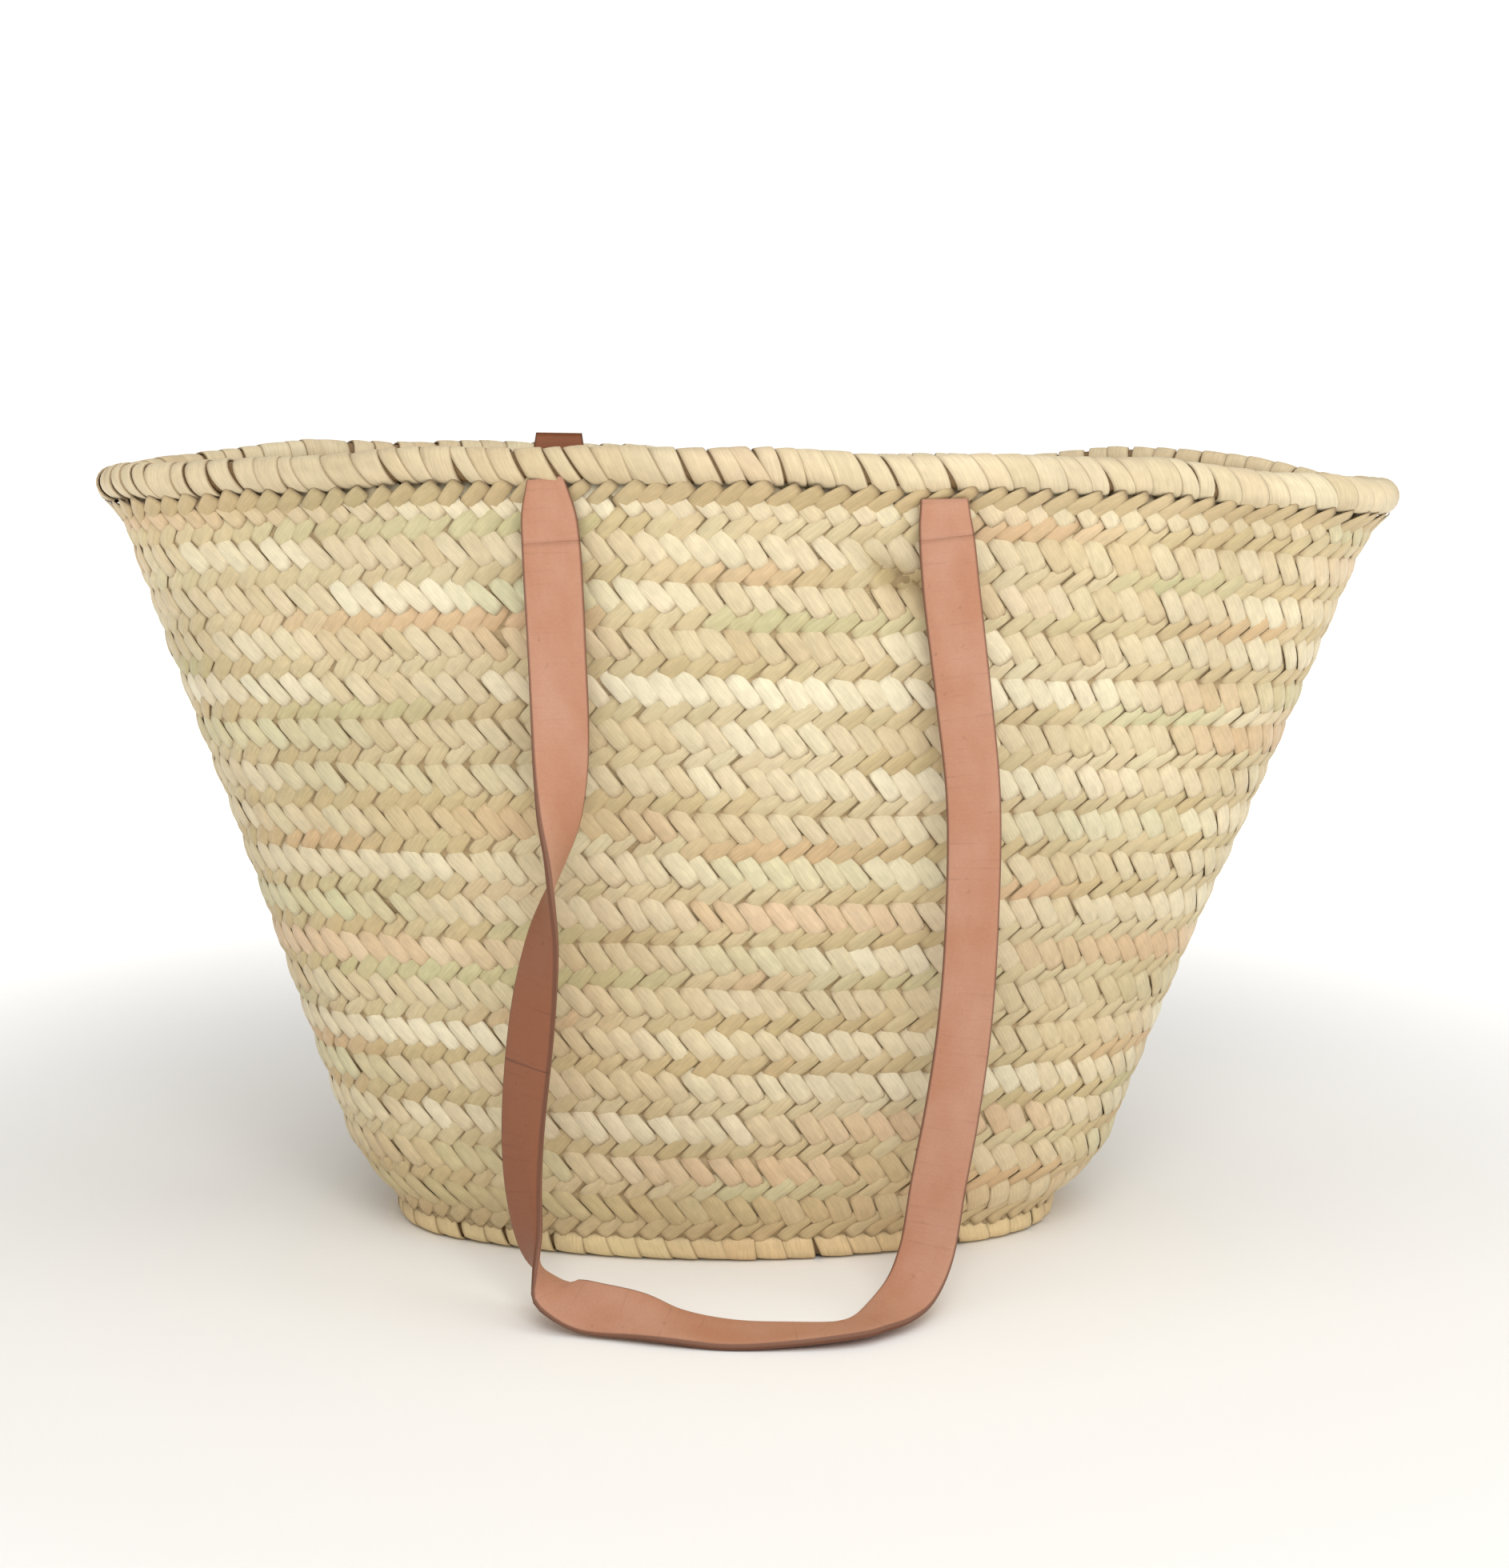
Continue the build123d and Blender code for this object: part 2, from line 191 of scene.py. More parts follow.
def hand_made(x, y, share):
    """How the rim strays from the true oval: lower at its right end, the back raised towards
    both ends and sagging between, the front dipping a little right of the middle."""
    tilt = -0.0026 * x / mouth_a
    back = np.clip(y / mouth_b, 0, 1)
    front = np.clip(-y / mouth_b, 0, 1)
    sag = -0.0050 * hump(x, 0.03, 0.10) + 0.0070 * hump(x, 0.190, 0.055)
    lift = 0.0060 * hump(x, -0.200, 0.085)
    dip = -0.0020 * hump(x, 0.035, 0.045)
    return share * (tilt + back**0.5 * (sag + lift) + front * dip)


def wall_skin(part, share):
    """Points on the wall's middle, by the share of the way round and from foot to rim."""
    end_z = foot_top + share * (rim_end_z - ROLL_RADIUS - foot_top)
    rise = (end_z - foot_top) / (rim_end_z - foot_top)
    mid_rise = (end_z + rim_arch * share - foot_top) / (rim_mid_z - foot_top)
    curl = np.clip((share - CURL_START) / CURL_REACH, 0, 1)
    belly = curl * (2 - curl) * np.clip(1 - share, 0, 1)
    theta = 2 * math.pi * part
    wander = sum(high * np.sin(waves * theta + climb * share + start) for high, waves, climb, start in WANDER)
    wander = wander * np.sin(math.pi * np.clip(share, 0, 1))
    a = base_a + (mouth_a - base_a) * rise + wander + BELLY_LONG * belly
    b = base_b + (mouth_b - base_b) * mid_rise + wander + BELLY_DEEP * belly
    r = BASE_END_RADIUS + (MOUTH_END_RADIUS - BASE_END_RADIUS) * rise + wander + BELLY_DEEP * belly
    x, y, whole = oval(part, a, b, r)
    z = end_z + rim_arch * share * (1 - (x / a) ** 2) + hand_made(x, y, share)
    dent = hump(x, DENT_X, DENT_WIDE) * hump(z + 0.5 * (x - DENT_X), DENT_Z, DENT_HIGH)
    y = np.where(y < 0, y + DENT_DEPTH * dent, y)
    return np.stack([x + base_x * (1 - rise) + BELLY_SHIFT * belly, y, z], -1)


def on_wall(part, share, out):
    """Points that stand out from the wall's middle by out, square to it."""
    small = 0.0006
    step = 0.012
    along = wall_skin(part + small, share) - wall_skin(part - small, share)
    up = wall_skin(part, share + step) - wall_skin(part, share - step)
    away = np.cross(along, up)
    away /= np.linalg.norm(away, axis=-1, keepdims=True)
    return wall_skin(part, share) + away * out[..., None]


ALONG = np.array([-1.0, -0.84, -0.5, 0.0, 0.5, 0.84, 1.0])
ACROSS = np.array([-1.0, -0.8, 0.0, 0.8, 1.0])
CROWN = np.array([-0.00055, 0.00005, 0.00035, 0.00005, -0.00055])
TIP_NARROWING = 0.22  # how much a strip narrows at its two ends
END_SHADE_AND_DIRT, SIDE_SHADE_AND_DIRT = 0.9, 0.55  # how dark painted shade with some dirt makes its ends and sides


def way_round(points):
    """The length of a line through points."""
    return np.linalg.norm(np.diff(points, axis=0), axis=1).sum()


def grid_faces(n, rows, columns):
    """Faces of n separate grids of points, one after another."""
    first = (np.arange(n) * rows * columns)[:, None, None]
    corner = first + (np.arange(rows - 1) * columns)[None, :, None] + np.arange(columns - 1)[None, None, :]
    corner = corner.reshape(-1)
    return np.stack([corner, corner + columns, corner + columns + 1, corner + 1], -1)


def leaf_strips(place, centre, angle, length, width, lift, tucks, tint, face):
    """One mesh of many short crowned leaf strips. centre is (n, 2): along and up the plait.
    tucks is how far each strip's two ends dip under its neighbours."""
    n = len(centre)
    a = ALONG[None, :, None]
    c = ACROSS[None, None, :]
    blunt = 1 - TIP_NARROWING * np.abs(a) ** 8
    far = a * length[:, None, None] / 2
    wide = c * blunt * width[:, None, None] / 2
    cos, sin = np.cos(angle)[:, None, None], np.sin(angle)[:, None, None]
    s = centre[:, 0, None, None] + far * cos - wide * sin
    v = centre[:, 1, None, None] + far * sin + wide * cos
    dip = np.where(a < 0, tucks[0], tucks[1]) * np.abs(a) ** 3.5
    out = lift[:, None, None] + CROWN[None, None, :] * (1 - 0.5 * a**2) - dip
    points = place(s, v, out).reshape(-1, 3)
    rows, columns = len(ALONG), len(ACROSS)
    faces = grid_faces(n, rows, columns)
    if face > 0:
        faces = faces[:, ::-1]
    # Painted shade with some dirt: darker towards the strip's ends, where it dips under its neighbours, and
    # towards its sides; kept in the tint's alpha.
    crease = np.clip(1 - np.abs(a) ** 5 * END_SHADE_AND_DIRT - np.abs(c) ** 6 * SIDE_SHADE_AND_DIRT, 0, 1) + 0 * s
    colour = np.repeat(tint[:, None, :], rows * columns, 1).reshape(-1, 4)
    colour[:, 3] = crease.reshape(-1)
    strand = np.stack([(c + 0 * s) * 3, far + 0 * s, np.arange(n)[:, None, None] * 0.37 + 0 * s], -1)
    strand[..., 1] *= 1000
    return points, faces, colour, strand.reshape(-1, 3)


def write_mark(mesh, name, kind, field, values):
    """Values written on a mesh's points."""
    mark = mesh.attributes.new(name, kind, "POINT")
    mark.data.foreach_set(field, values.astype(np.float32).reshape(-1))


def join(pieces):
    """Several (points, faces, colour, strand) sets as one."""
    points, faces, colour, strand, start = [], [], [], [], 0
    for p, f, k, g in pieces:
        points.append(p)
        faces.append(f + start)
        colour.append(k)
        strand.append(g)
        start += len(p)
    return np.concatenate(points), np.concatenate(faces), np.concatenate(colour), np.concatenate(strand)


def leaf_object(name, pieces, materials, counts=None):
    """A mesh object with the leaf's tint and run written on its points."""
    points, faces, colour, strand = join(pieces)
    mesh = bpy.data.meshes.new(name)
    mesh.from_pydata(points.tolist(), [], faces.tolist())
    mesh.polygons.foreach_set("use_smooth", np.ones(len(faces), bool))
    write_mark(mesh, "leaf_tint", "FLOAT_COLOR", "color", colour)
    write_mark(mesh, "leaf_run", "FLOAT_VECTOR", "vector", strand)
    for material in materials:
        mesh.materials.append(material)
    if counts:
        slots = np.repeat(np.arange(len(counts)), counts)
        mesh.polygons.foreach_set("material_index", slots.astype(np.int32))
    mesh.update()
    piece = bpy.data.objects.new(name, mesh)
    bpy.context.collection.objects.link(piece)
    return piece


def new_group(name, colours, value):
    """An empty shader group that takes colours and one value, and its two end nodes."""
    group = bpy.data.node_groups.new(name, "ShaderNodeTree")
    for label in colours:
        group.interface.new_socket(label, in_out="INPUT", socket_type="NodeSocketColor")
    group.interface.new_socket(value, in_out="INPUT", socket_type="NodeSocketFloat")
    for label, kind in (("Color", "Color"), ("Roughness", "Float"), ("Height", "Float")):
        group.interface.new_socket(label, in_out="OUTPUT", socket_type="NodeSocket" + kind)
    return group, group.nodes.new("NodeGroupInput"), group.nodes.new("NodeGroupOutput")


def mix_colour(tree, way, factor, first, second):
    """A colour mix node; factor, first and second are sockets or plain values."""
    node = tree.nodes.new("ShaderNodeMix")
    node.data_type = "RGBA"
    node.blend_type = way
    for socket, value in ((node.inputs[0], factor), (node.inputs[6], first), (node.inputs[7], second)):
        if isinstance(value, bpy.types.NodeSocket):
            tree.links.new(value, socket)
        else:
            socket.default_value = value
    return node.outputs[2]


def spread(tree, value, low, high, to_low, to_high):
    """Map a value from one range to another, held at both ends."""
    node = tree.nodes.new("ShaderNodeMapRange")
    tree.links.new(value, node.inputs["Value"])
    for label, number in (("From Min", low), ("From Max", high), ("To Min", to_low), ("To Max", to_high)):
        node.inputs[label].default_value = number
    return node.outputs["Result"]


def grain(tree, vector, scale, stretch, detail=3.0, rough=0.55):
    """Noise stretched by a vector, as its plain value."""
    mapping = tree.nodes.new("ShaderNodeMapping")
    mapping.inputs["Scale"].default_value = stretch
    tree.links.new(vector, mapping.inputs["Vector"])
    noise = tree.nodes.new("ShaderNodeTexNoise")
    noise.inputs["Scale"].default_value = scale
    noise.inputs["Detail"].default_value = detail
    noise.inputs["Roughness"].default_value = rough
    tree.links.new(mapping.outputs["Vector"], noise.inputs["Vector"])
    return noise.outputs["Fac"]


def mark_of(tree, name):
    """The node that reads what write_mark wrote."""
    node = tree.nodes.new("ShaderNodeAttribute")
    node.attribute_name = name
    return node.outputs


def maths(tree, operation, *values):
    """A sum of sockets or plain values."""
    node = tree.nodes.new("ShaderNodeMath")
    node.operation = operation
    for socket, value in zip(node.inputs, values):
        if isinstance(value, bpy.types.NodeSocket):
            tree.links.new(value, socket)
        else:
            socket.default_value = value
    return node.outputs[0]


def darken(tree, body, factors):
    """A colour multiplied by plain values."""
    for factor in factors:
        grey = tree.nodes.new("ShaderNodeCombineColor")
        for label in ("Red", "Green", "Blue"):
            tree.links.new(factor, grey.inputs[label])
        body = mix_colour(tree, "MULTIPLY", 1.0, body, grey.outputs["Color"])
    return body


# Dried palm leaf: fine ribs along the strip, tints that change from leaf to leaf,
# painted shade with some dirt where a strip dips under the next one and along its sides.
palm_leaf, leaf_in, leaf_out = new_group(
    "palm_leaf", ("Straw", "Bleached", "Green", "Blush", "Shade"), "Rib Depth")
tree = palm_leaf
tint = mark_of(tree, "leaf_tint")
run = mark_of(tree, "leaf_run")["Vector"]
parts = tree.nodes.new("ShaderNodeSeparateColor")
tree.links.new(tint["Color"], parts.inputs["Color"])
ribs = grain(tree, run, 1.0, (3.2, 0.12, 1.0), 4.0, 0.6)
mottle = grain(tree, run, 1.0, (0.35, 0.18, 1.0), 2.0)
place_in_wall = tree.nodes.new("ShaderNodeTexCoord")
weather = grain(tree, place_in_wall.outputs["Object"], 14.0, (1, 1, 1.6), 2.0)
body = mix_colour(tree, "MIX", parts.outputs["Red"], leaf_in.outputs["Straw"], leaf_in.outputs["Bleached"])
body = mix_colour(tree, "MIX", parts.outputs["Green"], body, leaf_in.outputs["Green"])
body = mix_colour(tree, "MIX", parts.outputs["Blue"], body, leaf_in.outputs["Blush"])
streak = spread(tree, ribs, 0.3, 0.7, 0.86, 1.06)
patch = spread(tree, mottle, 0.3, 0.7, 0.92, 1.05)
old = spread(tree, weather, 0.35, 0.65, 0.93, 1.04)
body = darken(tree, body, (streak, patch, old))
# Painted shade with some dirt: where the tint's alpha is low, the colour goes towards Shade. That is at
# strips' tucked ends and sides and at wound bands' edges.
shade_and_dirt_amount = spread(tree, tint["Alpha"], 0.15, 0.75, 0.75, 0.0)
body = mix_colour(tree, "MIX", shade_and_dirt_amount, body, leaf_in.outputs["Shade"])
tree.links.new(body, leaf_out.inputs["Color"])
tree.links.new(spread(tree, ribs, 0.3, 0.7, 0.62, 0.42), leaf_out.inputs["Roughness"])
tree.links.new(maths(tree, "MULTIPLY", ribs, leaf_in.outputs["Rib Depth"]), leaf_out.inputs["Height"])


def group_finish(name, group, values, bump_strength, bump_depth, specular):
    """A material from a shared group: the group gives colour, roughness and height."""
    material = bpy.data.materials.new(name)
    material.use_nodes = True
    tree = material.node_tree
    shader = tree.nodes["Principled BSDF"]
    look = tree.nodes.new("ShaderNodeGroup")
    look.node_tree = group
    for label, value in values.items():
        look.inputs[label].default_value = value
    bump = tree.nodes.new("ShaderNodeBump")
    bump.inputs["Strength"].default_value = bump_strength
    bump.inputs["Distance"].default_value = bump_depth
    tree.links.new(look.outputs["Height"], bump.inputs["Height"])
    tree.links.new(bump.outputs["Normal"], shader.inputs["Normal"])
    tree.links.new(look.outputs["Color"], shader.inputs["Base Color"])
    tree.links.new(look.outputs["Roughness"], shader.inputs["Roughness"])
    shader.inputs["Specular IOR Level"].default_value = specular
    return material, look


def leaf_finish(name, straw, bleached, green, blush, shade, rib_depth=0.5):
    """A palm leaf material with its own colours."""
    values = {"Straw": (*straw, 1), "Bleached": (*bleached, 1), "Green": (*green, 1), "Blush": (*blush, 1),
              "Shade": (*shade, 1), "Rib Depth": rib_depth}
    return group_finish(name, palm_leaf, values, 0.35, 0.0003, 0.35)[0]


plait_leaf = leaf_finish("plait_leaf", (0.600, 0.460, 0.248), (0.84, 0.760, 0.550), (0.54, 0.55, 0.290),
                         (0.68, 0.405, 0.225), (0.27, 0.175, 0.085))
# The strips between the plait's two faces get a darker copy of the leaf: painted shade, so the gaps between
# strips look shadowed.
shaded_under_leaf = leaf_finish("shaded_under_leaf", (0.46, 0.33, 0.17), (0.52, 0.39, 0.22), (0.42, 0.36, 0.18),
                         (0.46, 0.29, 0.15), (0.14, 0.08, 0.04))

PLAIT_PITCH = 0.0091
rng = np.random.default_rng(7)


def slow_noise(count, spacing):
    """A closed run of values near 0..1 that changes over about spacing steps."""
    knots = max(4, int(round(count / spacing)))
    values = rng.random(knots)
    x = np.arange(count) / count * knots
    low = np.floor(x).astype(int)
    t = x - low
    t = t * t * (3 - 2 * t)
    return values[low % knots] * (1 - t) + values[(low + 1) % knots] * t


def leaf_tints(count, level, falling):
    """Tints for one band of strips: neighbours come from the same leaf, so they go in groups.
    Strips that fall to the right take the paler, smoother face of the leaf."""
    slow = slow_noise(count, 7)
    quick = rng.random(count)
    pale = np.clip(0.10 + 0.55 * slow**1.4 + 0.30 * (quick - 0.5) + (0.20 if falling else 0.0), 0, 1)
    pale += np.where(slow_noise(count, 11) > 0.80, 0.32, 0.0)
    green = np.clip((slow_noise(count, 9) - 0.70) * 1.7, 0, 0.65) + 0.10 * rng.random(count)
    blush = np.clip((slow_noise(count, 10) - 0.74) * 2.1, 0, 0.7) + 0.12 * rng.random(count)
    if not falling:
        pale = pale * 0.8 - 0.08
        green = green + 0.10
    low = np.clip(1 - level / 0.16, 0, 1)
    pale = np.clip(pale - 0.35 * low, 0, 1)
    blush = np.clip(blush + 0.18 * low, 0, 1)
    return np.stack([pale, green, blush, np.ones(count)], -1)


SLIT_HEIGHT = 0.0040
STRAP_WIDTH = 0.022
NECK_OVER_SLIT = 0.0015  # the necks' top is above the middle of the slits
neck_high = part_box("front_strap_necks")[1]
strap_x = neck_high.x - STRAP_WIDTH / 2
slit_z = neck_high.z - NECK_OVER_SLIT
PASSAGE_RISE = 0.0055  # the thongs pass just under the rim


def near_slit(points, margin):
    """Which points lie in one of the four slits that the straps pass through."""
    x, y, z = points[..., 0], points[..., 1], points[..., 2]
    beside = np.abs(np.abs(x) - strap_x) < STRAP_WIDTH / 2 + margin
    return beside & (np.abs(z - slit_z - PASSAGE_RISE) < SLIT_HEIGHT / 2 + margin)


# The two ways of a strip: its top and bottom by the plait's height, its start and end by the
# pitch, its width, how far its ends tuck under, and how far it stands out.
FALLS_RIGHT = (1.04, 0.38, -0.5, 0.5, 0.0073, (0.0012, 0.0005), 0.00105)
FALLS_LEFT = (0.47, -0.05, 0.92, -0.10, 0.0064, (0.0011, 0.0005), 0.00085)
STRIP_OVERLAP = 1.14  # length of a strip that goes on under its neighbours
# How far the hand strays: along, up, angle, share of length, share of width, lift.
STRAYS = (0.00035, 0.00030, 0.045, 0.03, 0.07, 0.00014)


def plait_band(place, count, pitch, height, level, falling, face, shift=0.0, slits=False):
    """Half the strips of one plait: those that fall to the right along its upper edge, or
    those that fall to the left along its lower edge."""
    stray = rng.normal(0, 1, (6, count)) * np.array(STRAYS)[:, None]
    top, bottom, start_x, end_x, wide, tucks, lift = FALLS_RIGHT if falling else FALLS_LEFT
    top, bottom = top * height, bottom * height
    start_x, end_x = start_x * pitch, end_x * pitch
    run_x, run_v = end_x - start_x, bottom - top
    across = (np.arange(count) + shift) * pitch
    centre = np.stack([across + (start_x + end_x) / 2 + stray[0], (top + bottom) / 2 + stray[1]], -1)
    angle = math.atan2(run_v, run_x) + stray[2]
    length = math.hypot(run_x, run_v) * STRIP_OVERLAP * (1 + stray[3])
    width = wide * np.clip(1 + stray[4], 0.80, 1.10)
    lifts = lift + stray[5]
    tint = leaf_tints(count, level, falling)
    if slits:
        middle = place(centre[:, :1, None], centre[:, 1:, None], lifts[:, None, None])[:, 0, 0]
        keep = ~near_slit(middle, 0.0005)
        centre, angle, length, width = centre[keep], angle[keep], length[keep], width[keep]
        lifts, tint = lifts[keep], tint[keep]
    return leaf_strips(place, centre, angle, length, width, lifts, tucks, tint, face)


HALF_DEGREES = np.linspace(0, 1, 721)
SHEET_HALF = 0.00035  # half the strips that run between the two faces
RIDGE = 0.0009  # how far a turn swells out between its two seams
INNER_TINT = [0.3, 0.1, 0.1, 1.0]


def plait_turn(number):
    """One turn of the plait: strips outside and inside, and the strips that run between."""
    lower = (number - 1) / WALL_TURNS
    middle = (number - 0.5) / WALL_TURNS
    whole = way_round(wall_skin(HALF_DEGREES, np.full(721, middle)))
    count = int(round(whole / PLAIT_PITCH))
    pitch = whole / count
    height = np.linalg.norm(wall_skin(np.array(0.0), np.array(number / WALL_TURNS))
                            - wall_skin(np.array(0.0), np.array(lower)))
    shift = rng.random()
    pieces = []
    counts = []
    for side in (1, -1):
        def place(s, v, out, side=side):
            share = lower + v / height / WALL_TURNS
            ridge = RIDGE * np.sin(math.pi * np.clip(v / height, 0, 1)) ** 0.8
            return on_wall(s / whole, share, side * (out + ridge))

        for falling in (True, False):
            made = plait_band(place, count, pitch, height, middle, falling, side,
                              shift + (0.5 if side < 0 else 0), number == WALL_TURNS)
            pieces.append(made)
            counts.append(len(made[1]))
    strips = sum(counts)
    steps = 3 * count
    part = np.arange(steps) / steps
    levels = np.linspace(0, 1, 4)
    sheet = []
    for out in (SHEET_HALF, -SHEET_HALF):
        grid_part, grid_level = np.meshgrid(part, levels, indexing="ij")
        share = lower + grid_level / WALL_TURNS
        sheet.append(on_wall(grid_part, share, np.full(share.shape, out)))
    ring_points = np.stack(sheet, 2)
    rows = len(levels)
    index = np.arange(steps * rows * 2).reshape(steps, rows, 2)
    after = np.roll(index, -1, axis=0)
    quads = []
    for i, j in zip(range(rows - 1), range(1, rows)):
        quads.append(np.stack([index[:, i, 0], after[:, i, 0], after[:, j, 0], index[:, j, 0]], -1))
        quads.append(np.stack([index[:, i, 1], index[:, j, 1], after[:, j, 1], after[:, i, 1]], -1))
    quads.append(np.stack([index[:, 0, 0], index[:, 0, 1], after[:, 0, 1], after[:, 0, 0]], -1))
    quads.append(np.stack([index[:, -1, 0], after[:, -1, 0], after[:, -1, 1], index[:, -1, 1]], -1))
    quads = np.concatenate(quads)
    flat = ring_points.reshape(-1, 3)
    if number == WALL_TURNS:
        quads = quads[~near_slit(flat[quads].mean(1), 0.0)]
    grey = np.tile(INNER_TINT, (len(flat), 1))
    band_run = np.stack([flat[:, 2] * 900, flat[:, 0] * 900, flat[:, 1] * 300], -1)
    pieces.append((flat, quads, grey, band_run))
    name = f"plait_turn_{number:02d}"
    piece = leaf_object(name, pieces, [plait_leaf, shaded_under_leaf], [strips, len(quads)])
    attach(piece, "basket")
    halves = [""] if number < FIRST_SPLICED_TURN else ["_left", "_right"]
    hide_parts(*[f"wall_turn_{number:02d}{half}" for half in halves])


for number in range(1, WALL_TURNS + 1):
    plait_turn(number)

# --------------------
# Seam cords: thin twisted palm cord that sews each turn of plait to the next,
# lying hidden between the turns of the wall and of the base.
# --------------------
CORD_RADIUS = 0.0005
cord_fibre = leaf_finish("cord_fibre", (0.42, 0.29, 0.15), (0.50, 0.37, 0.20), (0.36, 0.33, 0.16),
                         (0.40, 0.25, 0.13), (0.15, 0.09, 0.04))


def tube(line, out, up, sides=6, radius=CORD_RADIUS):
    """A closed tube round a closed line, with the leaf's tint and run."""
    n = len(line)
    angle = np.arange(sides) / sides * 2 * math.pi
    ring = np.cos(angle)[None, :, None] * out[:, None, :] + np.sin(angle)[None, :, None] * up[:, None, :]
    points = (line[:, None, :] + ring * radius).reshape(-1, 3)
    index = np.arange(n * sides).reshape(n, sides)
    after = np.roll(index, -1, axis=0)
    faces = np.stack([index, np.roll(index, -1, 1), np.roll(after, -1, 1), after], -1).reshape(-1, 4)
    tint = np.tile([0.3, 0.1, 0.1, 0.8], (n * sides, 1))
    run = np.stack([np.tile(angle, n), np.repeat(np.arange(n), sides) * 0.8, np.zeros(n * sides)], -1)
    return points, faces, tint, run


def level_frame(line):
    """Outward and upward directions along a closed line that lies nearly level."""
    along = np.roll(line, -1, axis=0) - np.roll(line, 1, axis=0)
    along /= np.linalg.norm(along, axis=-1, keepdims=True)
    out = np.cross(along, [0, 0, 1.0])
    out /= np.linalg.norm(out, axis=-1, keepdims=True)
    return out, np.cross(out, along)


CORD_STEPS = 420
round_parts = np.arange(CORD_STEPS) / CORD_STEPS
cords = []
for seam in range(1, WALL_TURNS):
    line = wall_skin(round_parts, np.full(CORD_STEPS, seam / WALL_TURNS))
    cords.append(tube(line, *level_frame(line)))
wall_cords = leaf_object("wall_cords", cords, [cord_fibre])
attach(wall_cords, "basket")
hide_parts("wall_seam_cord")

# --------------------
# Rim: a thick round bundle of leaf laid on the wall's top edge and wound with
# flat leaf. The winding leans, each band lies a little over the next, and it
# is sewn down through the wall's top turn with slanting stitches.
# --------------------
RIM_BAND = 0.0094
RIM_CORE_RADIUS = 0.0057
BAND_ACROSS = np.array([-1.0, -0.92, -0.35, 0.30, 0.88, 0.98, 1.0])
BAND_HEIGHT = np.array([-0.00065, -0.00030, 0.00005, 0.00025, 0.00025, 0.00005, -0.00050])
GAP_REACH, LAP_REACH = 0.90, 1.12  # bands that stop short of the next one, or lie over it
RIM_WRAP_RADIUS = 0.00665
RIM_LEAN = 0.0072  # how far a band leans on its way round the roll
RIM_UNEVEN, RIM_OPEN = 0.30, 0.36  # spread of the bands' widths, and share with a gap


def rim_line(part):
    """The middle of the rim's roll."""
    x, y, whole = oval(part, mouth_a, mouth_b, MOUTH_END_RADIUS)
    z = rim_end_z + rim_arch * (1 - (x / mouth_a) ** 2) + hand_made(x, y, 1.0)
    theta = 2 * math.pi * part
    z = z + 0.0006 * np.sin(9 * theta + 1.0) + 0.0005 * np.sin(17 * theta)
    return np.stack([x, y, z], -1)


def uneven_steps(whole, step, spread_by):
    """Starts and widths of bands that fill a closed line, no two quite alike."""
    widths = step * (1 + spread_by * (2 * rng.random(int(round(whole / step))) - 1))
    widths *= whole / widths.sum()
    return np.cumsum(widths) - widths / 2, widths


def wound_leaf(line, whole, starts, widths, section, first, last, lean, tints, open_share):
    """Bands of leaf wound round a roll, from angle first to last, 0 being outward. Most lie
    over the next; a share of them leaves a narrow gap."""
    n = len(starts)
    psi = np.linspace(first, last, 19)[None, :, None]
    c = BAND_ACROSS[None, None, :]
    after = np.where(rng.random(n) < open_share, GAP_REACH, LAP_REACH)
    reach = np.where(c < 0, np.roll(after, 1)[:, None, None], after[:, None, None])
    skew = rng.normal(0, 0.0007, n)[:, None, None]
    s = starts[:, None, None] + c * widths[:, None, None] / 2 * reach + lean(psi) + skew * np.sin(psi)
    part = s / whole
    centre = line(part)
    along = line(part + 1e-4) - line(part - 1e-4)
    along /= np.linalg.norm(along, axis=-1, keepdims=True)
    out = np.cross(along, [0, 0, 1.0])
    out /= np.linalg.norm(out, axis=-1, keepdims=True)
    up = np.cross(out, along)
    a, b = section(psi)
    size = np.hypot(a, b)
    swell = rng.normal(0, 0.00012, n)[:, None, None]
    grow = 1 + (BAND_HEIGHT[None, None, :] + swell) / size
    points = centre + out * (a * grow)[..., None] + up * (b * grow)[..., None]
    rows, columns = psi.shape[1], len(BAND_ACROSS)
    faces = grid_faces(n, rows, columns)
    colour = np.repeat(tints[:, None, :], rows * columns, 1).reshape(-1, 4)
    # Painted shade: each band's colour darkens towards its two edges, where it meets the next band; kept in
    # the tint's alpha.
    edge = np.clip(1 - 0.85 * np.abs(c) ** 8, 0, 1) + 0 * s
    colour[:, 3] = edge.reshape(-1)
    run = np.stack([c * 3 + 0 * s, psi * size * 1000 + 0 * s, np.arange(n)[:, None, None] * 0.41 + 0 * s], -1)
    return points.reshape(-1, 3), faces, colour, run.reshape(-1, 3)


def rim_lean(psi):
    """The winding leans across the outer face and runs nearly straight behind."""
    t = np.clip((psi + 1.4) / 3.3, 0, 1)
    return -RIM_LEAN * t * t * (3 - 2 * t)


QUARTER_DEGREES = np.linspace(0, 1, 1441)
rim_whole = way_round(rim_line(QUARTER_DEGREES))
rim_leaf = leaf_finish("rim_leaf", (0.61, 0.470, 0.270), (0.76, 0.660, 0.450), (0.57, 0.53, 0.31),
                       (0.60, 0.385, 0.235), (0.17, 0.095, 0.04), 0.7)
starts, widths = uneven_steps(rim_whole, RIM_BAND, RIM_UNEVEN)
wraps = wound_leaf(rim_line, rim_whole, starts, widths,
                   lambda psi: (RIM_WRAP_RADIUS * np.cos(psi), RIM_WRAP_RADIUS * np.sin(psi)),
                   math.radians(-80), math.radians(255), rim_lean,
                   leaf_tints(len(starts), 1.0, True), RIM_OPEN)
line = rim_line(np.arange(900) / 900)
core = tube(line, *level_frame(line), sides=14, radius=RIM_CORE_RADIUS)
rim_winding = leaf_object("rim_winding", [wraps], [rim_leaf])
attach(rim_winding, "basket")
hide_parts("rim_binding")
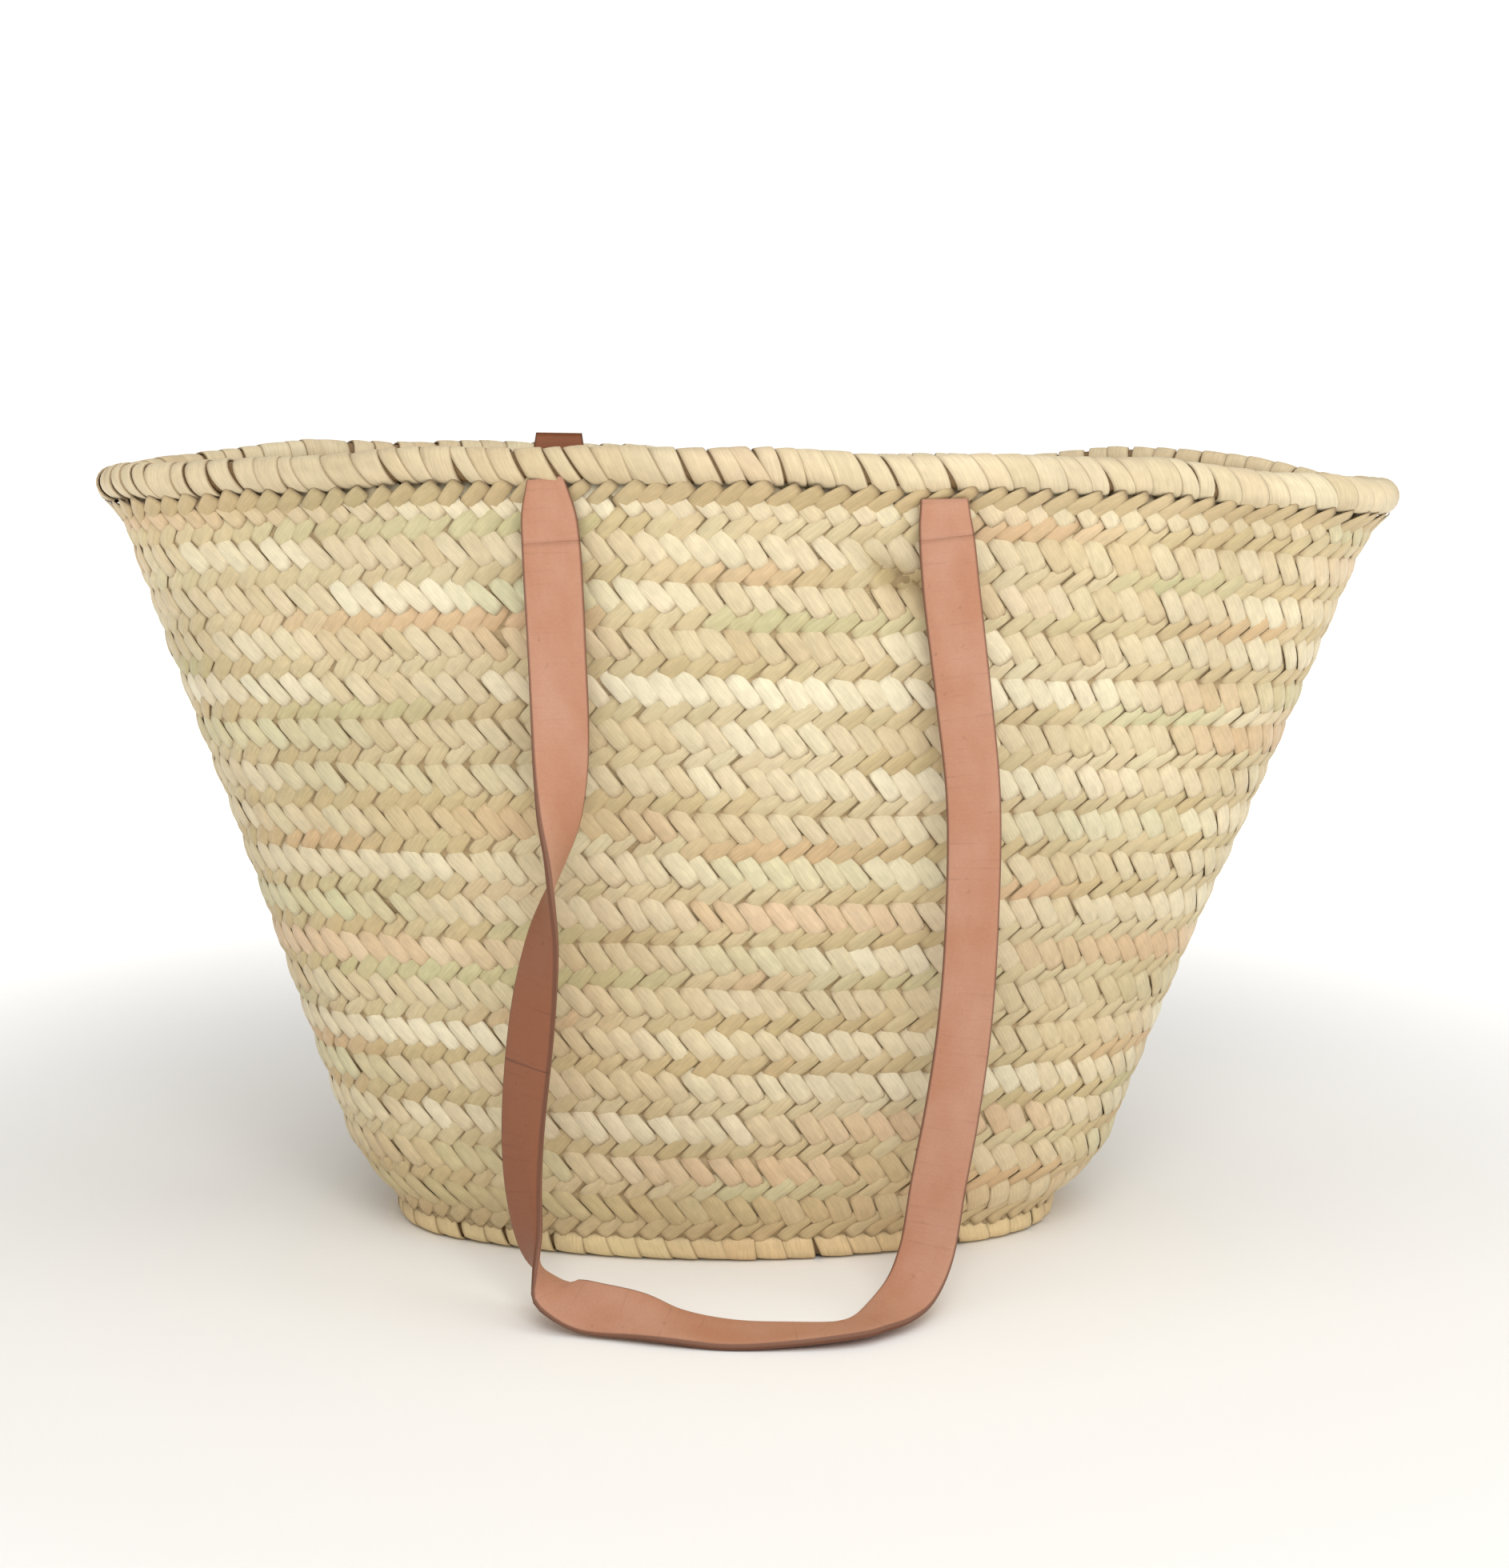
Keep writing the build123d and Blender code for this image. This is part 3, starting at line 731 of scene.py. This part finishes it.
# The bundles inside the rim and the foot are dark brown: painted shade, so the gaps between the wound bands
# show as dark lines.
shaded_bundle_leaf = leaf_finish("shaded_bundle_leaf", (0.20, 0.115, 0.045), (0.26, 0.16, 0.07), (0.18, 0.13, 0.05),
                          (0.24, 0.12, 0.05), (0.09, 0.05, 0.02))
rim_bundle = leaf_object("rim_bundle", [core], [shaded_bundle_leaf])
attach(rim_bundle, "basket")
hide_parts("rim_core")

STITCH_WIDTH, STITCH_LENGTH = 0.0058, 0.0142
STITCH_DROP = 0.0026  # middle of a stitch, under the wall's top edge
STITCH_LIFT = 0.00215
STITCH_SWELL = 0.0040  # how far a stitch's top comes out over the roll
stitch_leaf = leaf_finish("stitch_leaf", (0.55, 0.40, 0.21), (0.70, 0.57, 0.36), (0.50, 0.46, 0.24),
                          (0.60, 0.38, 0.20), (0.15, 0.09, 0.04))
top_whole = way_round(wall_skin(HALF_DEGREES, np.full(721, 1.0)))
turn_height = np.linalg.norm(wall_skin(np.array(0.0), np.array(1.0))
                             - wall_skin(np.array(0.0), np.array(1 - 1 / WALL_TURNS)))
stitches = []
for side in (1, -1):
    def rim_stitch_place(s, v, out, side=side):
        share = 1 + v / turn_height / WALL_TURNS
        reach = np.clip((v + 0.0065) / 0.0095, 0, 1)
        return on_wall(s / top_whole, share, side * (out + STITCH_SWELL * reach**1.5))

    count = int(round(top_whole / PLAIT_PITCH))
    jitter = rng.normal(0, 1, (5, count))
    across = (np.arange(count) + 0.3) * top_whole / count
    centre = np.stack([across + 0.0005 * jitter[0], -STITCH_DROP + 0.0003 * jitter[1]], -1)
    angle = math.radians(218 if side > 0 else 142) + 0.06 * jitter[2]
    stitches.append(leaf_strips(rim_stitch_place, centre, angle, STITCH_LENGTH * (1 + 0.04 * jitter[3]),
                                STITCH_WIDTH * (1 + 0.08 * jitter[4]), np.full(count, STITCH_LIFT),
                                (0.0006, 0.0016), leaf_tints(count, 0.9, False), side))
rim_stitches = leaf_object("rim_stitches", stitches, [stitch_leaf])
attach(rim_stitches, "basket")
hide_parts("rim_binding")

# --------------------
# Foot: a bundle of leaf bent round the base's edge and wound with upright
# bands of leaf. The basket stands on it.
# --------------------
FOOT_BAND = 0.0112
FOOT_CENTRE_INSET = 0.006
FOOT_DRAWN_IN = 0.0045  # the foot's two ends are drawn in under the wall
FOOT_UNEVEN, FOOT_OPEN = 0.20, 0.25
FOOT_HALF_WIDTH = 0.0057
FOOT_CORE_RADIUS = 0.0046
FOOT_SQUARENESS = 3.2  # 2 would make the section an ellipse
foot_middle_z = foot_top / 2
foot_a = (foot_high.x - foot_low.x) / 2 - FOOT_CENTRE_INSET - FOOT_DRAWN_IN
foot_b = (foot_high.y - foot_low.y) / 2 - FOOT_CENTRE_INSET
foot_r = BASE_END_RADIUS - 0.007


def foot_line(part):
    """The middle of the foot's roll."""
    x, y, whole = oval(part, foot_a, foot_b, foot_r)
    return np.stack([x + base_x, y, np.full(np.shape(x), foot_middle_z)], -1)


def foot_section(psi):
    """The foot's section: a rounded block, a little wider than it is high."""
    half_high = foot_middle_z - 0.0006
    cos, sin = np.cos(psi), np.sin(psi)
    size = (np.abs(cos) ** FOOT_SQUARENESS + np.abs(sin) ** FOOT_SQUARENESS) ** (-1 / FOOT_SQUARENESS)
    return FOOT_HALF_WIDTH * size * cos, half_high * size * sin


foot_whole = way_round(foot_line(QUARTER_DEGREES))
foot_leaf = leaf_finish("foot_leaf", (0.80, 0.61, 0.33), (0.90, 0.79, 0.51), (0.74, 0.68, 0.40),
                        (0.72, 0.47, 0.25), (0.16, 0.09, 0.035), 0.7)
starts, widths = uneven_steps(foot_whole, FOOT_BAND, FOOT_UNEVEN)
foot_wraps = wound_leaf(foot_line, foot_whole, starts, widths, foot_section, math.radians(-120),
                        math.radians(240), lambda psi: -0.0016 * np.sin(np.clip(psi, -1.5, 1.5)),
                        leaf_tints(len(starts), 0.05, False), FOOT_OPEN)
foot_winding = leaf_object("foot_winding", [foot_wraps], [foot_leaf])
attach(foot_winding, "basket")
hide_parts("foot_binding")
line = foot_line(np.arange(420) / 420)
core = tube(line, *level_frame(line), sides=12, radius=FOOT_CORE_RADIUS)
foot_bundle = leaf_object("foot_bundle", [core], [shaded_bundle_leaf])
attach(foot_bundle, "basket")
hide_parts("foot_core")

# --------------------
# Base: the same plait, one straight strip with three turns wound and sewn
# round it, inside the foot.
# --------------------
BASE_STRIP = 0.017
BASE_TURNS = 3
base_low, base_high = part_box(f"base_turn_{BASE_TURNS}")
plate_z = (base_low.z + base_high.z) / 2
plate_a = (base_high.x - base_low.x) / 2
plate_b = (base_high.y - base_low.y) / 2
plate_step = (plate_b - BASE_STRIP / 2) / BASE_TURNS


def base_edge(part, turn):
    """The outer edge of the base's strip with a number of turns round it."""
    inset = (BASE_TURNS - turn) * plate_step
    radius = foot_r - 0.006 if turn == BASE_TURNS else plate_b - inset - 0.0004
    x, y, whole = oval(part, plate_a - inset, plate_b - inset, radius)
    return np.stack([x + base_x, y, np.full(np.shape(x), plate_z)], -1)


for turn in range(1, BASE_TURNS + 1):
    whole = way_round((base_edge(HALF_DEGREES, turn) + base_edge(HALF_DEGREES, turn - 1)) / 2)
    count = int(round(whole / PLAIT_PITCH))
    pitch = whole / count
    pieces = []
    for side in (1, -1):
        def base_place(s, v, out, side=side, turn=turn, whole=whole):
            t = (v / plate_step)[..., None]
            point = base_edge(s / whole, turn - 1) * (1 - t) + base_edge(s / whole, turn) * t
            point[..., 2] = plate_z + side * out
            return point

        for falling in (True, False):
            pieces.append(plait_band(base_place, count, pitch, plate_step, 0.3, falling, -side))
    flat, quads = [], []
    parts = np.arange(3 * count) / (3 * count)
    rings = [base_edge(parts, turn - 1), base_edge(parts, turn)]
    for z in (0.0003, -0.0003):
        for ring in rings:
            flat.append(ring + [0, 0, z])
    flat = np.concatenate(flat)
    n = len(parts)
    i = np.arange(n)
    j = (i + 1) % n
    for first, second in ((0, 1), (1, 3), (3, 2), (2, 0)):
        quads.append(np.stack([i + first * n, j + first * n, j + second * n, i + second * n], -1))
    quads = np.concatenate(quads)
    strips = sum(len(p[1]) for p in pieces)
    pieces.append((flat, quads, np.tile(INNER_TINT, (len(flat), 1)), flat * 900))
    base_turn = leaf_object(f"base_plait_turn_{turn}", pieces, [plait_leaf, shaded_under_leaf], [strips, len(quads)])
    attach(base_turn, "basket")
    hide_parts(f"base_turn_{turn}")

strip_low, strip_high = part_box("base_centre_strip")
strip_length = strip_high.x - strip_low.x
count = int(strip_length / PLAIT_PITCH) - 1
pieces = []
for side in (1, -1):
    def strip_place(s, v, out, side=side):
        x = strip_low.x + 0.009 + s
        y = v - BASE_STRIP / 2
        x = np.clip(x, strip_low.x + 0.001, strip_high.x - 0.001)
        return np.stack([x, y, plate_z + side * out], -1)

    for falling in (True, False):
        pieces.append(plait_band(strip_place, count, PLAIT_PITCH, BASE_STRIP, 0.3, falling, side))
ends = [strip_low.x + 0.002, strip_high.x - 0.002]
half = BASE_STRIP / 2 - 0.001
flat = np.array([[x, y, plate_z + z] for z in (-0.0003, 0.0003) for x, y in
                 ((ends[0] + half, -half), (ends[1] - half, -half), (ends[1], 0), (ends[1] - half, half),
                  (ends[0] + half, half), (ends[0], 0))])
lid = np.array([[6, 7, 8, 11], [8, 9, 10, 11], [5, 2, 1, 0], [5, 4, 3, 2]])
rim_quads = np.array([[k, (k + 1) % 6, (k + 1) % 6 + 6, k + 6] for k in range(6)])
quads = np.concatenate([lid, rim_quads])
strips = sum(len(p[1]) for p in pieces)
pieces.append((flat, quads, np.tile(INNER_TINT, (len(flat), 1)), flat * 900))
base_strip = leaf_object("base_plait_strip", pieces, [plait_leaf, shaded_under_leaf], [strips, len(quads)])
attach(base_strip, "basket")
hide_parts("base_centre_strip")

cords = []
for turn in range(BASE_TURNS):
    line = base_edge(np.arange(240) / 240, turn)
    cords.append(tube(line, *level_frame(line)))
base_cords = leaf_object("base_cords", cords, [cord_fibre])
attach(base_cords, "basket")
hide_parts("base_seam_cord")

# --------------------
# Straps: one flat thong of vegetable-tanned leather at the front and one at
# the back. Each hangs from under the rim as a long loop. Its slack lies on
# the ground. The front one's left leg has turned over: its flesh side is darker.
# --------------------
LEATHER_THICKNESS = 0.0027
leather_wear, wear_in, wear_out = new_group("leather_wear", ("Grain", "Worn", "Flesh", "Edge"), "Fold")
tree = leather_wear
run = mark_of(tree, "strap_run")["Vector"]
parts = tree.nodes.new("ShaderNodeSeparateColor")
tree.links.new(mark_of(tree, "strap_side")["Color"], parts.inputs["Color"])
cloud = grain(tree, run, 1.0, (0.5, 0.028, 1), 3.0)
pores = grain(tree, run, 1.0, (9.0, 0.9, 1), 4.0, 0.65)
crease = grain(tree, run, 1.0, (0.25, 0.45, 1), 3.0, 0.6)
spots = grain(tree, run, 1.0, (2.2, 0.22, 1), 2.0)
body = mix_colour(tree, "MIX", spread(tree, cloud, 0.35, 0.65, 0.0, 1.0), wear_in.outputs["Grain"],
                  wear_in.outputs["Worn"])
body = mix_colour(tree, "MIX", spread(tree, parts.outputs["Red"], 0.4, 0.6, 1.0, 0.0), body,
                  wear_in.outputs["Flesh"])
body = darken(tree, body, (spread(tree, pores, 0.3, 0.7, 0.94, 1.04),
                           spread(tree, crease, 0.60, 0.72, 1.0, 0.86),
                           spread(tree, spots, 0.68, 0.76, 1.0, 0.80)))
body = mix_colour(tree, "MIX", spread(tree, parts.outputs["Green"], 0.35, 0.9, 0.0, 0.75), body,
                  wear_in.outputs["Edge"])
run_parts = tree.nodes.new("ShaderNodeSeparateXYZ")
tree.links.new(run, run_parts.inputs["Vector"])
from_fold = maths(tree, "SUBTRACT", maths(tree, "MULTIPLY_ADD", crease, 5.0, run_parts.outputs["Y"]),
                  wear_in.outputs["Fold"])
near_fold = maths(tree, "ABSOLUTE", from_fold)
body = mix_colour(tree, "MIX", spread(tree, near_fold, 0.15, 0.75, 0.85, 0.0), body,
                  wear_in.outputs["Edge"])
tree.links.new(body, wear_out.inputs["Color"])
tree.links.new(spread(tree, cloud, 0.3, 0.7, 0.52, 0.66), wear_out.inputs["Roughness"])
tree.links.new(spread(tree, crease, 0.5, 0.75, 0.5, 0.0), wear_out.inputs["Height"])

leather, wear = group_finish(
    "leather", leather_wear,
    {"Grain": (0.455, 0.205, 0.118, 1), "Worn": (0.500, 0.262, 0.172, 1), "Flesh": (0.275, 0.096, 0.043, 1),
     "Edge": (0.115, 0.045, 0.024, 1)}, 0.3, 0.0006, 0.4)

LEATHER_ACROSS = np.array([-1.0, -0.97, -0.90, -0.6, -0.2, 0.2, 0.6, 0.90, 0.97, 1.0])
LEATHER_PROFILE = np.array([0.35, 0.80, 1.0, 1.03, 1.05, 1.05, 1.03, 1.0, 0.80, 0.35])


def smooth_route(knots, count):
    """Catmull-Rom curve through rows of numbers, evenly spaced along its first three."""
    knots = np.asarray(knots, float)
    gaps = np.sqrt(np.linalg.norm(np.diff(knots[:, :3], axis=0), axis=1))
    times = np.concatenate([[0], np.cumsum(gaps)])
    slopes = np.gradient(knots, times, axis=0)

    def at(t):
        k = np.clip(np.searchsorted(times, t, side="right") - 1, 0, len(times) - 2)
        h = (times[k + 1] - times[k])[:, None]
        u = ((t - times[k])[:, None]) / h
        p0, p1, m0, m1 = knots[k], knots[k + 1], slopes[k] * h, slopes[k + 1] * h
        return ((2 * u**3 - 3 * u**2 + 1) * p0 + (u**3 - 2 * u**2 + u) * m0
                + (-2 * u**3 + 3 * u**2) * p1 + (u**3 - u**2) * m1)

    fine = at(np.linspace(0, times[-1], 4000))
    way = np.concatenate([[0], np.cumsum(np.linalg.norm(np.diff(fine[:, :3], axis=0), axis=1))])
    t = np.interp(np.linspace(0, way[-1], count), way, np.linspace(0, times[-1], 4000))
    return at(t)


def thong(name, stations, seed):
    """A leather thong: rows are its middle line, the direction across it, its width and cup."""
    line, across, width, cup = stations[:, :3], stations[:, 3:6], stations[:, 6], stations[:, 7]
    along = np.gradient(line, axis=0)
    along /= np.linalg.norm(along, axis=1, keepdims=True)
    across = across - along * (across * along).sum(1, keepdims=True)
    across /= np.linalg.norm(across, axis=1, keepdims=True)
    out = np.cross(along, across)
    half = LEATHER_THICKNESS / 2
    profile = half * LEATHER_PROFILE
    loops_c = np.concatenate([LEATHER_ACROSS, LEATHER_ACROSS[::-1]])
    loops_h = np.concatenate([profile, -profile])
    bend = cup[:, None] * (loops_c[None, :] ** 2 - 0.4)
    points = (line[:, None, :] + across[:, None, :] * (loops_c[None, :] * width[:, None] / 2)[..., None]
              + out[:, None, :] * (loops_h[None, :] + bend)[..., None])
    n, m = points.shape[:2]
    index = np.arange(n * m).reshape(n, m)
    side = np.roll(index, -1, 1)
    faces = np.stack([side[:-1], side[1:], index[1:], index[:-1]], -1).reshape(-1, 4).tolist()
    faces.append(index[0].tolist())
    faces.append(index[-1][::-1].tolist())
    mesh = bpy.data.meshes.new(name)
    mesh.from_pydata(points.reshape(-1, 3).tolist(), [], faces)
    mesh.polygons.foreach_set("use_smooth", np.ones(len(faces), bool))
    face_side = (loops_h[None, :] > 0) * 1.0 + np.zeros((n, 1))
    edge = np.clip((np.abs(loops_c[None, :]) - 0.86) / 0.12, 0, 1) + np.zeros((n, 1))
    colour = np.stack([face_side, edge, np.zeros((n, m)), np.ones((n, m))], -1)
    write_mark(mesh, "strap_side", "FLOAT_COLOR", "color", colour)
    way = np.concatenate([[0], np.cumsum(np.linalg.norm(np.diff(line, axis=0), axis=1))]) * 1000
    run = np.stack([loops_c[None, :] + np.zeros((n, 1)), way[:, None] + np.zeros((1, m)) + seed,
                    (loops_h[None, :] > 0) * 3.0 + np.zeros((n, 1))], -1)
    write_mark(mesh, "strap_run", "FLOAT_VECTOR", "vector", run)
    mesh.materials.append(leather)
    piece = bpy.data.objects.new(name, mesh)
    bpy.context.collection.objects.link(piece)
    return piece


# Each row: x, y, z of the middle line, the direction across it, width, cup (millimetres).
FRONT_ROUTE = [
    (-71, -108.4, 301, 1, 0, 0.1, 13, 0.3), (-70.6, -109.3, 297.5, 1, 0, 0.06, 15, 0.3),
    (-70, -109.6, 290, 1, 0.02, 0.04, 19, 0.1), (-69.2, -109.8, 280, 1, 0.04, 0, 20.6, 0),
    (-67.2, -110.2, 232, 1, 0.1, 0, 20.8, 0), (-66.6, -111, 207, 0.95, 0.3, 0, 20.8, 0.3),
    (-67.2, -113, 184, 0.72, 0.7, 0, 20.8, 0.5), (-69.2, -115.5, 162, 0.12, 1, 0, 20.8, 0.4),
    (-73.5, -115, 137, -0.55, 0.84, 0, 20.8, 0.4), (-78, -113.5, 106, -0.8, 0.6, 0, 20.8, 0.3),
    (-82.1, -113, 62, -0.74, 0.66, 0, 20.8, 0.2), (-81.2, -117, 40, -0.6, 0.79, 0.1, 20.8, 0.2),
    (-76.6, -126.2, 21.6, -0.34, 0.92, 0.15, 20.8, 0.2), (-71, -131.4, 13.3, -0.03, 0.97, 0.24, 20.8, 0.2),
    (-66.6, -135.2, 10.9, 0, 0.91, 0.41, 20.6, 0.2), (-57.4, -139, 8.6, 0.02, 0.78, 0.62, 20.6, 0.2),
    (-39.6, -143, 6.9, 0.02, 0.88, 0.46, 20.8, 0.1), (-25.8, -146, 4.2, 0, 0.98, 0.19, 20.8, 0),
    (-6.8, -149, 2.3, 0, 1, 0.08, 20.8, 0), (14.6, -149, 2.4, 0, 1, -0.03, 20.8, 0),
    (35.1, -146.3, 2.9, -0.08, 0.98, -0.14, 20.8, 0), (43.6, -141.5, 3.4, -0.28, 0.95, -0.08, 20.4, 0),
    (53.2, -134, 6.9, -0.5, 0.82, 0.25, 19.6, 0.1), (59.3, -127.5, 11.2, -0.8, 0.47, 0.34, 19.6, 0.2),
    (64.8, -120.5, 21.6, -0.97, 0.16, 0.16, 20.2, 0.2), (69.6, -115.2, 47, -0.99, 0.1, 0.06, 20.4, 0.1),
    (74.2, -112.8, 72, -1, 0.02, 0, 20.2, 0), (78.5, -112.4, 105, -1, 0, 0, 19.8, 0),
    (80.7, -112.2, 144, -1, 0, 0, 19.4, 0), (80.6, -111.6, 188, -1, 0, 0, 19.6, 0),
    (76.6, -110.6, 225, -1, 0, 0, 20.2, 0), (72, -109.8, 262, -1, 0, 0, 20.4, 0),
    (70.2, -109.6, 280, -1, 0, 0, 19.6, 0), (69.6, -109.4, 286, -1, 0, 0.03, 18.6, 0.1),
    (69.4, -109, 290.5, -1, 0, 0.06, 17.5, 0.2), (69.3, -107.6, 293.5, -1, 0, 0.06, 17, 0.2)]
BACK_ROUTE = [
    (-68.5, -108.6, 299.5, 1, 0, 0.04, 16, 0.3), (-68.5, -109.4, 295, 1, 0, 0.04, 18, 0.3),
    (-68.6, -109.6, 289, 1, 0, 0.02, 20.5, 0.1), (-69, -109.8, 279, 1, 0, 0, 21.5, 0),
    (-71, -110.4, 230, 1, 0, 0, 21.5, 0), (-73.2, -111.4, 170, 1, -0.02, 0, 21.5, 0),
    (-74.2, -112, 110, 1, -0.04, 0, 21.5, 0.1), (-73, -112.4, 60, 1, -0.06, 0, 21.5, 0.1),
    (-71, -115, 32, 0.98, -0.12, 0, 21.5, 0.2), (-66, -121.5, 14, 0.88, 0.3, -0.1, 21.5, 0.2),
    (-56, -130.5, 6, 0.52, 0.84, -0.05, 21.5, 0.1), (-38, -138, 2.6, 0.2, 0.98, 0, 21.5, 0),
    (-12, -141.5, 1.9, 0.04, 1, 0, 21.5, 0), (16, -141.5, 1.9, -0.04, 1, 0, 21.5, 0),
    (40, -137.5, 2.8, -0.24, 0.97, 0, 21.5, 0), (57, -129.5, 6.5, -0.54, 0.83, -0.05, 21.5, 0.1),
    (66.5, -120.5, 15.5, -0.88, 0.3, -0.1, 21.5, 0.2), (71, -114.5, 33, -0.98, -0.1, 0, 21.5, 0.2),
    (73, -112.4, 62, -1, -0.05, 0, 21.5, 0.1), (74, -111.8, 112, -1, -0.02, 0, 21.5, 0),
    (73, -111.2, 172, -1, 0, 0, 21.5, 0), (71, -110.4, 232, -1, 0, 0, 21.5, 0),
    (69.2, -109.8, 280, -1, 0, 0, 21.5, 0), (68.8, -109.6, 289, -1, 0, 0.02, 20.5, 0.1),
    (68.6, -109.4, 295, -1, 0, 0.04, 18, 0.3), (68.5, -108.6, 299.5, -1, 0, 0.04, 16, 0.3)]
FOLD_Z = 0.089  # an old fold across the turned-over leg
ROOT_END = 0.280  # where a leg is free of its fold under the rim

for end, route, seed in (("front", FRONT_ROUTE, 0.0), ("back", BACK_ROUTE, 300.0)):
    stations = smooth_route(np.array(route) * ([0.001] * 3 + [1] * 3 + [0.001] * 2), 330)
    if end == "back":
        stations[:, [0, 1, 3, 4]] *= -1
    high = stations[:, 2] > ROOT_END
    middle = len(stations) // 2
    first = int(np.argmin(high[:middle]))
    last = middle + int(np.argmax(high[middle:]))
    if end == "front":
        walk = np.cumsum(np.linalg.norm(np.diff(stations[first:middle, :3], axis=0), axis=1)) * 1000
        fold = int(np.argmin(np.abs(stations[first + 1:middle, 2] - FOLD_Z)))
        wear.inputs["Fold"].default_value = walk[fold]
    loop = thong(f"{end}_strap", stations[first:last + 1], seed)
    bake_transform(loop)
    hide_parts(f"{end}_strap_necks", f"{end}_strap_loop")
    for leg, part in (("first", stations[:first + 1]), ("last", stations[last:])):
        root = thong(f"{end}_strap_{leg}_root", part, seed + (0 if leg == "first" else 900))
        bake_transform(root)
        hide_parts(f"{end}_strap_necks")

# Tails: the thongs' ends inside the basket, laid flat on the wall and sewn
# through it. The front thong's left tail stands up a little above the rim.
TALL_TAIL_TOP = 0.31  # a tail that ends higher than this stands free of the wall
TALL_TAIL_LEAN = 0.002
TALL_NARROWING, SHORT_NARROWING = 0.26, 0.10
TAIL_SHOULDER = 0.55  # share of the tail below the place where it narrows
for end, turned in (("front", 1), ("back", -1)):
    for side in ("left", "right"):
        low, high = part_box(f"{end}_{side}_tail")
        x = (low.x + high.x) / 2
        inner = low.y if end == "back" else high.y
        y = inner - turned * LEATHER_THICKNESS / 2
        lean = TALL_TAIL_LEAN if high.z > TALL_TAIL_TOP else 0.0
        width = high.x - low.x
        top = high.z - 0.0005
        rows = []
        for t in np.linspace(0, 1, 9):
            z = low.z + (top - low.z) * t
            narrow = TALL_NARROWING if lean else SHORT_NARROWING
            narrow = width * (1 - narrow * max(0, (t - TAIL_SHOULDER) / (1 - TAIL_SHOULDER)) ** 1.5)
            narrow *= 1 - 0.25 * (t < 0.01)
            rows.append((x + lean * t * turned * 0.4, y - turned * 0.0006 * math.sin(3 * t), z,
                         turned, 0.02, 0.0, narrow, 0.0002))
        tail_piece = thong(f"{end}_{side}_strap_tail", smooth_route(rows, 28), 500 + 60 * turned)
        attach(tail_piece, "basket")
        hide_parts(f"{end}_{side}_tail")

# Waxed thread that holds the tails.
thread = bpy.data.materials.new("waxed_thread")
thread.use_nodes = True
tree = thread.node_tree
shader = tree.nodes["Principled BSDF"]
where = tree.nodes.new("ShaderNodeTexCoord")
ply = grain(tree, where.outputs["Object"], 900.0, (1, 1, 1), 1.0)
tree.links.new(mix_colour(tree, "MIX", ply, (0.50, 0.36, 0.22, 1), (0.66, 0.52, 0.35, 1)),
               shader.inputs["Base Color"])
shader.inputs["Roughness"].default_value = 0.5
for node in ("front_tail_stitches", "back_tail_stitches"):
    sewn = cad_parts[node]
    sewn.data.materials.clear()
    sewn.data.materials.append(thread)
